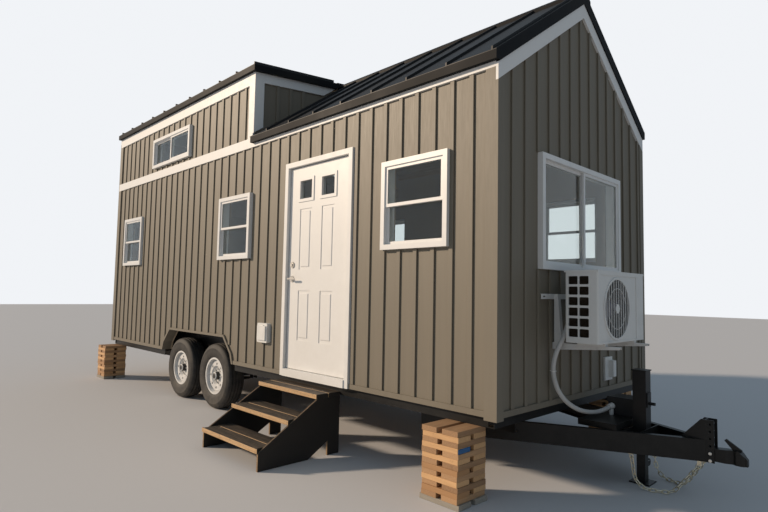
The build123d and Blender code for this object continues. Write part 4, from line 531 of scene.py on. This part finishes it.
# the last number sets how much of the faces turned to -y take the pale bare wood, which is worn paint and
# painted sunlight
treadWood = makeStepBoards("treadWood", stepPaint, 0.02, 1.0)
stringerWood = makeStepBoards("stringerWood", stepPaint, 0.72, 0.55)
frameSteel = makeSteelPaint("frameSteel", (0.010, 0.010, 0.010), (0.07, 0.055, 0.045), 0.36, 0.68, 0.16)
jackSteel = makeSteelPaint("jackSteel", (0.009, 0.009, 0.010), (0.13, 0.12, 0.11), 0.34, 0.7, 0.12)
wheelPaint = makeSteelPaint("wheelPaint", (0.74, 0.74, 0.73), (0.45, 0.42, 0.38), 0.3, 0.66, 0.45)
condenserPaint = makePaint("condenserPaint", (0.72, 0.72, 0.70), (0.45, 0.43, 0.39), 0.36, 2.2, 0.35)
bracketPaint = makePaint("bracketPaint", (0.70, 0.70, 0.69), (0.38, 0.35, 0.31), 0.42, 2.2, 0.4)
fanPlastic = makePlainPlastic("fanPlastic", (0.21, 0.21, 0.25), 0.45)
boxPlastic = makePlainPlastic("boxPlastic", (0.020, 0.020, 0.021), 0.5)
whitePlastic = makePlainPlastic("whitePlastic", (0.76, 0.76, 0.74), 0.4)
satinNickel = makeBareMetal("satinNickel", (0.62, 0.59, 0.55), 0.34)
brightZinc = makeBareMetal("brightZinc", (0.74, 0.74, 0.72), 0.28)
zincYellow = makeBareMetal("zincYellow", (0.86, 0.78, 0.60), 0.34)
coilMetal = makeBareMetal("coilMetal", (0.10, 0.075, 0.055), 0.5)
sleeveFoam = makePlainPlastic("sleeveFoam", (0.55, 0.55, 0.54), 0.6)

# what each node of the frame is finished in
finishOf = {
    siding: ["door_wall_front", "door_wall_rear", "door_wall_header", "far_wall", "hitch_gable_wall",
             "rear_gable_wall", "dormer_walls"],
    outerSiding: ["dormer_cheeks", "corner_posts", "base_trim"],
    innerBoards: ["floor_deck", "loft_floor"],
    roofBoards: ["main_roof_deck", "dormer_roof_deck"],
    roofMetal: ["main_roofing", "dormer_roofing"],
    roofEdge: ["ridge_cap", "roof_flashing"],
    whiteTrim: ["white_trim", "door_casing"],
    whiteVinyl: ["window_frames"],
    paneGlass: ["window_glass", "door_glass"],
    doorPaint: ["entry_door"],
    satinNickel: ["hinge_pins", "hinge_knuckles", "door_lock", "door_lever"],
    frameSteel: ["chassis_rails", "main_beams", "crossmembers", "tongue_beams", "coupler_mount", "coupler",
                 "axles", "leaf_springs", "wheel_wells"],
    jackSteel: ["jack_tube", "jack_leg"],
    tyreRubber: ["tyre_front_door_side", "tyre_front_far_side", "tyre_rear_door_side",
                 "tyre_rear_far_side"],
    wheelPaint: ["wheel_front_door_side", "wheel_front_far_side", "wheel_rear_door_side",
                 "wheel_rear_far_side"],
    boxPlastic: ["battery_box"],
    treadWood: ["step_treads"],
    stringerWood: ["step_stringers"],
    cribAlong: ["crib_stacks"],
    condenserPaint: ["condenser_cabinet", "condenser_guard"],
    fanPlastic: ["condenser_fan"],
    bracketPaint: ["condenser_bracket"],
    whitePlastic: ["power_inlet", "outlet_cover", "line_fittings"],
    zincYellow: ["safety_chains"],
    sleeveFoam: ["line_set"],
}
hosePiece.data.materials.append(sleeveFoam)
for material, names in finishOf.items():
    for name in names:
        if name in nodes:
            nodes[name].data.materials.clear()
            nodes[name].data.materials.append(material)
print("materials assigned")


# modelling helpers

def startClean():
    if bpy.context.object and bpy.context.object.mode != "OBJECT":
        bpy.ops.object.mode_set(mode="OBJECT")
    bpy.ops.object.select_all(action="DESELECT")


def addBoard(low, high):
    centre = [(a + b) / 2 for a, b in zip(low, high)]
    size = [b - a for a, b in zip(low, high)]
    bpy.ops.mesh.primitive_cube_add(size=1, location=centre, scale=size)
    return bpy.context.object


def joinPieces(name, pieces):
    startClean()
    for piece in pieces:
        piece.select_set(True)
    bpy.context.view_layer.objects.active = pieces[0]
    if len(pieces) > 1:
        bpy.ops.object.join()
    bpy.ops.object.transform_apply(location=True, rotation=True, scale=True)
    piece = bpy.context.object
    piece.name = name
    return piece


def softenEdges(piece, width, segments=2, angle=30):
    startClean()
    piece.select_set(True)
    bpy.context.view_layer.objects.active = piece
    bevel = piece.modifiers.new("softEdges", "BEVEL")
    bevel.width = width
    bevel.segments = segments
    bevel.limit_method = "ANGLE"
    bevel.angle_limit = math.radians(angle)
    bpy.ops.object.modifier_apply(modifier=bevel.name)


def trimBy(piece, place, normal):
    # cuts away what lies on the side the normal points to
    startClean()
    piece.select_set(True)
    bpy.context.view_layer.objects.active = piece
    bpy.ops.object.mode_set(mode="EDIT")
    bpy.ops.mesh.select_all(action="SELECT")
    bpy.ops.mesh.bisect(plane_co=place, plane_no=normal, use_fill=True, clear_outer=True)
    bpy.ops.object.mode_set(mode="OBJECT")


def finishPiece(piece, material, body):
    piece.data.materials.clear()
    piece.data.materials.append(material)
    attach(piece, body)


# battens of the siding
battens = {
    "pitch": 0.1778,
    "width": 0.040,
    "proud": 0.014,
    "edge": 0.003,
    "firstOnSide": 0.214,
    "firstOnEnd": 0.189,
    "corner": 0.085,
    "lap": 0.012,
    "shortest": 0.02,
    "hitchTop": 3.845,
    "rearTop": 3.927,
    "dormerIn": 0.1,
    "cheekCount": 3,
    "cheekIn": 0.03,
    "cheekShortest": 0.12,
    "cheekDrop": 0.03,
}

# heights of the roof's planes at the ridge and over the eaves
roofLines = {"ridge": 4.08, "mainEave": 3.12, "dormerEave": 3.945, "eaveOut": 0.06}
halfSpan = farY - midY + roofLines["eaveOut"]
mainSlope = (roofLines["ridge"] - roofLines["mainEave"]) / halfSpan
dormerSlope = (roofLines["ridge"] - roofLines["dormerEave"]) / halfSpan


def openSpans(low, high, holes):
    # the stretches of a batten that no window or trim covers
    spans = [(low, high)]
    for start, end in sorted(holes):
        spans = [(a, min(b, start)) for a, b in spans] + [(max(a, end), b) for a, b in spans]
        spans = sorted((a, b) for a, b in spans if b - a > battens["shortest"])
    return spans


def nodeHole(name, axis):
    # where a node stands on a wall: along it, and up it
    low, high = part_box(name)
    return [(low[axis], high[axis], low[2], high[2])]


# what the battens stop at, measured from the hitch end, the door side and the ground
windowTrim = {
    "hungBack": (0.757, 3.543, 6.645),
    "hungHalf": 0.35,
    "hungHeights": (1.765, 2.495),
    "sliderBack": 5.38,
    "sliderHalf": 0.6,
    "sliderHeights": (3.1725, 3.5975),
    "gableIn": 1.26,
    "gableHalf": 0.715,
    "gableHeights": (1.616, 2.508),
}
arch = {"back": 4.455, "stages": ((0.974, 0.70), (0.90, 0.79), (0.80, 0.892))}  # half width, top


def wallHole(middle, half, heights):
    return (middle - half, middle + half, *heights)


hungWindows = [wallHole(hitchX - back, windowTrim["hungHalf"], windowTrim["hungHeights"])
               for back in windowTrim["hungBack"]]
sliderWindow = [wallHole(hitchX - windowTrim["sliderBack"], windowTrim["sliderHalf"],
                         windowTrim["sliderHeights"])]
gableWindow = [wallHole(doorY + windowTrim["gableIn"], windowTrim["gableHalf"],
                        windowTrim["gableHeights"])]
doorTrim = nodeHole("door_casing", 0)
inletBox = nodeHole("power_inlet", 0)
outletBox = nodeHole("outlet_cover", 1)
archTrim = [wallHole(hitchX - arch["back"], half, (0, top)) for half, top in arch["stages"]]


def sideBattens(side, holes, x0, x1, low, high):
    # side is -1 for the door side and 1 for the far side
    wallY = doorY if side < 0 else farY
    pieces = []
    count = int((hitchX - rearX) / battens["pitch"])
    for i in range(count):
        x = hitchX - battens["firstOnSide"] - battens["pitch"] * i
        if not x0 + battens["width"] < x < x1 - battens["width"] / 2:
            continue
        covered = [(a, b) for l, r, a, b in holes if l - battens["lap"] < x < r + battens["lap"]]
        for a, b in openSpans(low, high, covered):
            y0, y1 = sorted((wallY, wallY + side * battens["proud"]))
            pieces.append(addBoard((x - battens["width"] / 2, y0, a), (x + battens["width"] / 2, y1, b)))
    return pieces


def endBattens(side, holes, top, slope):
    # side is 1 for the hitch end and -1 for the rear end
    wallX = hitchX if side > 0 else rearX
    pieces = []
    count = int((farY - doorY) / battens["pitch"]) + 1
    for i in range(count):
        y = doorY + battens["firstOnEnd"] + battens["pitch"] * i
        if y > farY - battens["corner"]:
            continue
        covered = [(a, b) for l, r, a, b in holes if l - battens["lap"] < y < r + battens["lap"]]
        for a, b in openSpans(baseTrimTop, top, covered):
            x0, x1 = sorted((wallX, wallX + side * battens["proud"]))
            pieces.append(addBoard((x0, y - battens["width"] / 2, a), (x1, y + battens["width"] / 2, b)))
    piece = joinPieces("endBattens" + ("Hitch" if side > 0 else "Rear"), pieces)
    for way in (-1, 1):
        trimBy(piece, (wallX, midY, top), (0, way * slope, 1))
    softenEdges(piece, battens["edge"])
    finishPiece(piece, siding, "house")


def makeBattens():
    for side, name in ((-1, "doorSide"), (1, "farSide")):
        holes = hungWindows + archTrim + (doorTrim + inletBox if side < 0 else [])
        rear, front = rearX + battens["corner"], hitchX - battens["corner"]
        dormerFront = dormerX - battens["dormerIn"]
        pieces = sideBattens(side, holes, rear, front, baseTrimTop, friezeLow)
        pieces += sideBattens(side, sliderWindow, rear, dormerFront, friezeTop, dormerFriezeLow)
        piece = joinPieces(name + "Battens", pieces)
        softenEdges(piece, battens["edge"])
        finishPiece(piece, siding, "house")
    endBattens(1, gableWindow + outletBox, battens["hitchTop"], mainSlope)
    endBattens(-1, [], battens["rearTop"], dormerSlope)


makeBattens()


def makeCheekBattens():
    # upright battens on the end of each dormer, standing on the slope of the main roof
    low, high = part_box("dormer_cheeks")
    pieces = []
    for i in range(battens["cheekCount"]):
        across = battens["corner"] + battens["cheekIn"] + battens["pitch"] * (i + 1)
        for side in (-1, 1):
            y = midY + side * (farY - midY - across)
            foot = low[2] + across * mainSlope
            top = high[2] - battens["cheekDrop"]
            if foot < high[2] - battens["cheekShortest"]:
                pieces.append(addBoard((dormerX, y - battens["width"] / 2, foot),
                                       (dormerX + battens["proud"], y + battens["width"] / 2, top)))
    piece = joinPieces("cheekBattens", pieces)
    softenEdges(piece, battens["edge"])
    finishPiece(piece, outerSiding, "house")


makeCheekBattens()
print("battens fitted")


# cribs of loose boards, each a little out of true
crib = {
    "layers": 14,
    "board": 0.14,
    "length": 0.312,
    "baseLength": 0.345,
    "span": 0.32,
    "places": {"FrontDoor": (2.8375, -1.0025), "RearDoor": (-4.0225, -1.0025),
               "FrontFar": (2.8375, 1.5675), "RearFar": (-4.0225, 1.5675)},
    "shift": 0.0035,
    "turn": 0.6,
    "edge": 0.002,
    "joint": 0.004,
    "blueLayer": 10,
    "blueSize": (0.005, 0.064, 0.016),
}


def cribBoard(centre, along, layer, height, seed):
    length = crib["baseLength"] if layer == 0 else crib["length"]
    wide = crib["board"] - crib["joint"]
    size = (length, wide, height) if along else (wide, length, height)
    bpy.ops.mesh.primitive_cube_add(size=1, location=centre, scale=size)
    board = bpy.context.object
    bpy.ops.object.mode_set(mode="EDIT")
    bpy.ops.mesh.subdivide(number_cuts=1)
    bpy.ops.object.mode_set(mode="OBJECT")
    board.rotation_euler[2] = math.radians(seed.uniform(-crib["turn"], crib["turn"]))
    board.location[0] += seed.uniform(-crib["shift"], crib["shift"])
    board.location[1] += seed.uniform(-crib["shift"], crib["shift"])
    return board


def makeCribs():
    seed = random.Random(7)
    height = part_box("crib_stacks")[1][2] / crib["layers"]
    off = (crib["span"] - crib["board"]) / 2
    made = []
    for place, (x, y) in crib["places"].items():
        groups = {"Along": [], "Across": [], "Base": [], "Blue": []}
        startClean()
        for layer in range(crib["layers"]):
            z = (layer + 0.5) * height
            along = layer % 2 == 0
            for side in (-1, 1):
                centre = (x, y + side * off, z) if along else (x + side * off, y, z)
                board = cribBoard(centre, along, layer, height, seed)
                kind = "Base" if layer == 0 else ("Along" if along else "Across")
                groups[kind].append(board)
                if place == "FrontDoor" and layer == crib["blueLayer"] and side == -1:
                    # a lick of blue paint on the end of one board
                    endX = x + crib["length"] / 2
                    out, across, up = crib["blueSize"]
                    groups["Blue"].append(addBoard((endX, centre[1] - across, z - up),
                                                   (endX + out, centre[1] + across, z + up)))
        woods = {"Along": cribAlong, "Across": cribAcross, "Base": cribBase, "Blue": bluePaint}
        for kind, boards in groups.items():
            if boards:
                piece = joinPieces("crib" + place + kind, boards)
                softenEdges(piece, crib["edge"], 1)
                finishPiece(piece, woods[kind], "house")
                made.append(piece)
    for piece in made:
        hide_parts("crib_stacks")


makeCribs()
print("cribs stacked")


# tyres turned from a section with ribs and grooves
tyre = {
    "section": [
        (0.2035, -0.086), (0.218, -0.0875), (0.2195, -0.0962), (0.224, -0.0995), (0.250, -0.108),
        (0.285, -0.1125), (0.318, -0.1118), (0.326, -0.1135),
        (0.334, -0.1105), (0.352, -0.104), (0.366, -0.095), (0.374, -0.088), (0.378, -0.078), (0.381, -0.064),
        (0.372, -0.062), (0.372, -0.054), (0.3835, -0.052), (0.385, -0.024), (0.375, -0.022), (0.375, -0.014),
        (0.385, -0.012), (0.385, 0.012), (0.375, 0.014), (0.375, 0.022), (0.385, 0.024), (0.3835, 0.052),
        (0.372, 0.054), (0.372, 0.062), (0.381, 0.064), (0.378, 0.078), (0.366, 0.095), (0.334, 0.1105),
        (0.285, 0.1125), (0.250, 0.108), (0.224, 0.0995), (0.2195, 0.0962), (0.218, 0.0875), (0.2035, 0.086),
    ],
    "steps": 96,
}


def turnSection(name, section, centre, steps):
    # a section of (radius, across) pairs, drawn by extruding a point, then spun about the axle
    startClean()
    start = (centre[0] + section[0][0], centre[1] + section[0][1], centre[2])
    bpy.ops.mesh.primitive_plane_add(size=0.01, location=start)
    piece = bpy.context.object
    bpy.ops.object.transform_apply(location=True, rotation=True, scale=True)
    bpy.ops.object.mode_set(mode="EDIT")
    bpy.ops.mesh.select_all(action="SELECT")
    bpy.ops.mesh.merge(type="CENTER")
    for (r0, y0), (r1, y1) in zip(section, section[1:] + section[:1]):
        bpy.ops.mesh.extrude_region_move(TRANSFORM_OT_translate={"value": (r1 - r0, y1 - y0, 0)})
    bpy.ops.mesh.select_all(action="SELECT")
    bpy.ops.mesh.remove_doubles(threshold=0.00005)
    bpy.ops.mesh.spin(steps=steps, angle=math.radians(360), center=centre, axis=(0, 1, 0))
    bpy.ops.mesh.select_all(action="SELECT")
    bpy.ops.mesh.remove_doubles(threshold=0.00005)
    bpy.ops.mesh.normals_make_consistent(inside=False)
    bpy.ops.object.mode_set(mode="OBJECT")
    piece.name = name
    bpy.ops.object.shade_smooth_by_angle(angle=math.radians(28))
    return piece


hub = {
    "face": 0.040,
    "cap": [(0.0, 0.0965), (0.030, 0.0965), (0.036, 0.094), (0.040, 0.089), (0.0472, 0.086), (0.0475, 0.040)],
    "nutCircle": 0.082,
    "nutRadius": 0.0135,
    "nutOut": 0.063,
    "nuts": 8,
    "steps": 32,
}


def turnCap(name, section, centre, way, steps):
    # a lid turned from its outline, from the middle out to its rim
    startClean()
    start = (centre[0], centre[1] + way * section[0][1], centre[2])
    bpy.ops.mesh.primitive_plane_add(size=0.01, location=start)
    piece = bpy.context.object
    bpy.ops.object.transform_apply(location=True, rotation=True, scale=True)
    bpy.ops.object.mode_set(mode="EDIT")
    bpy.ops.mesh.select_all(action="SELECT")
    bpy.ops.mesh.merge(type="CENTER")
    for (r0, y0), (r1, y1) in zip(section, section[1:]):
        bpy.ops.mesh.extrude_region_move(TRANSFORM_OT_translate={"value": (r1 - r0, way * (y1 - y0), 0)})
    bpy.ops.mesh.select_all(action="SELECT")
    bpy.ops.mesh.spin(steps=steps, angle=math.radians(360), center=centre, axis=(0, 1, 0))
    bpy.ops.mesh.select_all(action="SELECT")
    bpy.ops.mesh.remove_doubles(threshold=0.00005)
    bpy.ops.mesh.normals_make_consistent(inside=False)
    bpy.ops.object.mode_set(mode="OBJECT")
    piece.name = name
    bpy.ops.object.shade_smooth_by_angle(angle=math.radians(30))
    return piece


def hexHead(centre, axis, radius, depth):
    # a six-sided head with its outer edge bevelled, its length along x or y
    turn = (0, math.radians(90), 0) if axis == "X" else (math.radians(90), 0, 0)
    bpy.ops.mesh.primitive_cylinder_add(vertices=6, radius=radius, depth=depth,
                                        location=centre, rotation=turn)
    head = bpy.context.object
    bpy.ops.object.transform_apply(location=True, rotation=True, scale=True)
    bpy.ops.object.mode_set(mode="EDIT")
    bpy.ops.mesh.select_all(action="SELECT")
    bpy.ops.mesh.bevel(offset=radius * 0.12, segments=1, affect="EDGES")
    bpy.ops.object.mode_set(mode="OBJECT")
    return head


def makeHubs():
    for place in ("front", "rear"):
        for side, way in (("door_side", -1), ("far_side", 1)):
            name = place + "_" + side
            low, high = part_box("tyre_" + name)
            centre = tuple((a + b) / 2 for a, b in zip(low, high))
            cap = turnCap("hubCap_" + name, hub["cap"], centre, way, hub["steps"])
            finishPiece(cap, boxPlastic, "wheel_" + name)
            startClean()
            nuts = []
            depth = hub["nutOut"] - hub["face"]
            y = centre[1] + way * (hub["face"] + depth / 2)
            for i in range(hub["nuts"]):
                angle = math.radians(360 * i / hub["nuts"])
                x = centre[0] + hub["nutCircle"] * math.cos(angle)
                z = centre[2] + hub["nutCircle"] * math.sin(angle)
                nuts.append(hexHead((x, y, z), "Y", hub["nutRadius"], depth))
            piece = joinPieces("wheelNuts_" + name, nuts)
            finishPiece(piece, brightZinc, "wheel_" + name)


def makeWheelTrim():
    for place in ("front", "rear"):
        for side in ("door_side", "far_side"):
            name = place + "_" + side
            low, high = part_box("tyre_" + name)
            centre = tuple((a + b) / 2 for a, b in zip(low, high))
            rubber = turnSection("tyreTread_" + name, tyre["section"], centre, tyre["steps"])
            finishPiece(rubber, tyreRubber, "wheel_" + name)
            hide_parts("tyre_" + name)


makeWheelTrim()
makeHubs()
print("tyres and hubs turned")


# steps: straight-backed sides with the front boards lapped over their noses
flight = {
    "sideThick": 0.019,
    "boardThick": 0.038,
    "boardGap": 0.007,
    "noseTop": 0.142,
    "headBack": 0.575,
    "legWide": 0.130,
    "archHigh": 0.120,
    "archLong": 0.206,
    "edge": 0.0022,
    "sideEdge": 0.0012,
    "steps": 3,
    "run": 0.285,
    "play": 0.001,
    "lip": 0.0115,
}


def makeFlight():
    low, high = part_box("step_stringers")
    treadLow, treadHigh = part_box("step_treads")
    frontY, rearY = low[1], high[1]
    outline = [
        (frontY, 0.0), (frontY, flight["noseTop"]), (frontY + flight["headBack"], high[2]), (rearY, high[2]),
        (rearY, 0.0), (rearY - flight["legWide"], 0.0), (rearY - flight["legWide"], flight["archHigh"]),
        (rearY - flight["legWide"] - flight["archLong"], 0.0),
    ]
    sides = []
    for x in (low[0], high[0] - flight["sideThick"]):
        startClean()
        bpy.ops.mesh.primitive_plane_add(size=0.01, location=(x, outline[0][0], outline[0][1]))
        side = bpy.context.object
        bpy.ops.object.transform_apply(location=True, rotation=True, scale=True)
        bpy.ops.object.mode_set(mode="EDIT")
        bpy.ops.mesh.select_all(action="SELECT")
        bpy.ops.mesh.merge(type="CENTER")
        for (y0, z0), (y1, z1) in zip(outline, outline[1:] + outline[:1]):
            bpy.ops.mesh.extrude_region_move(TRANSFORM_OT_translate={"value": (0, y1 - y0, z1 - z0)})
        bpy.ops.mesh.select_all(action="SELECT")
        bpy.ops.mesh.remove_doubles(threshold=0.0001)
        bpy.ops.mesh.edge_face_add()
        bpy.ops.mesh.extrude_region_move(TRANSFORM_OT_translate={"value": (flight["sideThick"], 0, 0)})
        bpy.ops.mesh.select_all(action="SELECT")
        bpy.ops.mesh.normals_make_consistent(inside=False)
        bpy.ops.object.mode_set(mode="OBJECT")
        sides.append(side)
    piece = joinPieces("stepSides", sides)
    softenEdges(piece, flight["sideEdge"], 1)
    finishPiece(piece, stringerWood, "house")
    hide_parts("step_stringers")

    boards = []
    inset = flight["sideThick"] + flight["play"]
    inner = (treadLow[0] + inset, treadHigh[0] - inset)
    rise = treadHigh[2] / flight["steps"]
    for step in range(flight["steps"]):
        last = step == flight["steps"] - 1
        top = rise * (step + 1)
        under = top - flight["boardThick"]
        front = treadLow[1] + flight["run"] * step
        going = treadHigh[1] - front if last else flight["run"]
        depth = (going - flight["boardGap"]) / 2
        ends = (treadLow[0], treadHigh[0]) if last else inner
        for half in range(2):
            y0 = front + half * (depth + flight["boardGap"])
            boards.append(addBoard((ends[0], y0, under), (ends[1], y0 + depth, top)))
        if not last:
            # the front board's lip laps over the noses of both sides
            for x0, x1 in ((treadLow[0], inner[0]), (inner[1], treadHigh[0])):
                boards.append(addBoard((x0, front, under), (x1, front + flight["lip"], top)))
    piece = joinPieces("stepBoards", boards)
    softenEdges(piece, flight["edge"])
    finishPiece(piece, treadWood, "house")
    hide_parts("step_treads")


makeFlight()
print("steps built")


# plastic tie round the hose, where its line passes the tie's height
hoseTie = {"height": 0.852, "radius": 0.0192, "wide": 0.007, "edge": 0.001, "tail": (0.026, 0.004, 0.002)}


def readLine(piece):
    # points along the middle of a cord, read from its spline
    radius = piece.data.bevel_depth
    piece.data.bevel_depth = 0
    line = bpy.data.meshes.new_from_object(piece)
    piece.data.bevel_depth = radius
    points = [vertex.co.copy() for vertex in line.vertices]
    bpy.data.meshes.remove(line)
    return points


def makeTie(hose):
    points = readLine(hose)
    at = min(range(1, len(points) - 1), key=lambda i: abs(points[i][2] - hoseTie["height"]))
    x, y, z = points[at]
    turn = (points[at + 1] - points[at - 1]).to_track_quat("Z", "Y").to_euler()
    startClean()
    bpy.ops.mesh.primitive_cylinder_add(vertices=28, radius=hoseTie["radius"], depth=hoseTie["wide"],
                                        location=(x, y, z), rotation=turn)
    band = bpy.context.object
    bpy.ops.object.transform_apply(location=True, rotation=True, scale=True)
    bpy.ops.object.mode_set(mode="EDIT")
    bpy.ops.mesh.select_all(action="SELECT")
    bpy.ops.mesh.bevel(offset=hoseTie["edge"], segments=2, affect="EDGES")
    bpy.ops.object.mode_set(mode="OBJECT")
    along, across, up = hoseTie["tail"]
    tail = addBoard((x - along, y - across, z - up), (x + along, y + across, z + up))
    piece = joinPieces("hoseTie", [band, tail])
    finishPiece(piece, whitePlastic, "house")
    return piece


makeTie(hosePiece)
print("hose tied")


# bolts of the coupler
bolts = {"headRadius": 0.0125, "headDepth": 0.009, "couplerX": 4.0735, "couplerZ": (0.277, 0.327)}


def makeBolts():
    low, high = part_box("coupler_mount")
    startClean()
    heads = []
    for z in bolts["couplerZ"]:
        for y in (low[1] - bolts["headDepth"] / 2, high[1] + bolts["headDepth"] / 2):
            heads.append(hexHead((bolts["couplerX"], y, z), "Y", bolts["headRadius"], bolts["headDepth"]))
    piece = joinPieces("couplerBolts", heads)
    finishPiece(piece, brightZinc, "house")


makeBolts()


# finned coil behind the side inlets of the condenser
coil = {
    "inFromEnd": 0.026,
    "margin": 0.020,
    "foot": 0.055,
    "head": 0.035,
    "deep": 0.030,
    "pitch": 0.0058,
    "fin": 0.0022,
    "count": 33,
    "rail": 0.010,
    "railIn": 0.006,
    "railOut": 0.002,
    "edge": 0.0004,
}


def makeCoil():
    low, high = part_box("condenser_cabinet")
    startClean()
    y0 = low[1] + coil["inFromEnd"]
    z0, z1 = low[2] + coil["foot"], high[2] - coil["head"]
    x0 = low[0] + coil["margin"]
    fins = []
    for i in range(coil["count"]):
        x = x0 + coil["pitch"] * i
        fins.append(addBoard((x, y0, z0), (x + coil["fin"], y0 + coil["deep"], z1)))
    x1 = x0 + coil["pitch"] * coil["count"]
    y1 = y0 + coil["deep"] + coil["railOut"]
    for z in (z0, (z0 + z1) / 2, z1 - coil["rail"]):
        fins.append(addBoard((x0 - coil["railOut"], y0 + coil["railIn"], z), (x1, y1, z + coil["rail"])))
    piece = joinPieces("coilFins", fins)
    softenEdges(piece, coil["edge"], 1)
    finishPiece(piece, coilMetal, "house")


makeCoil()
print("bolts and coil fitted")
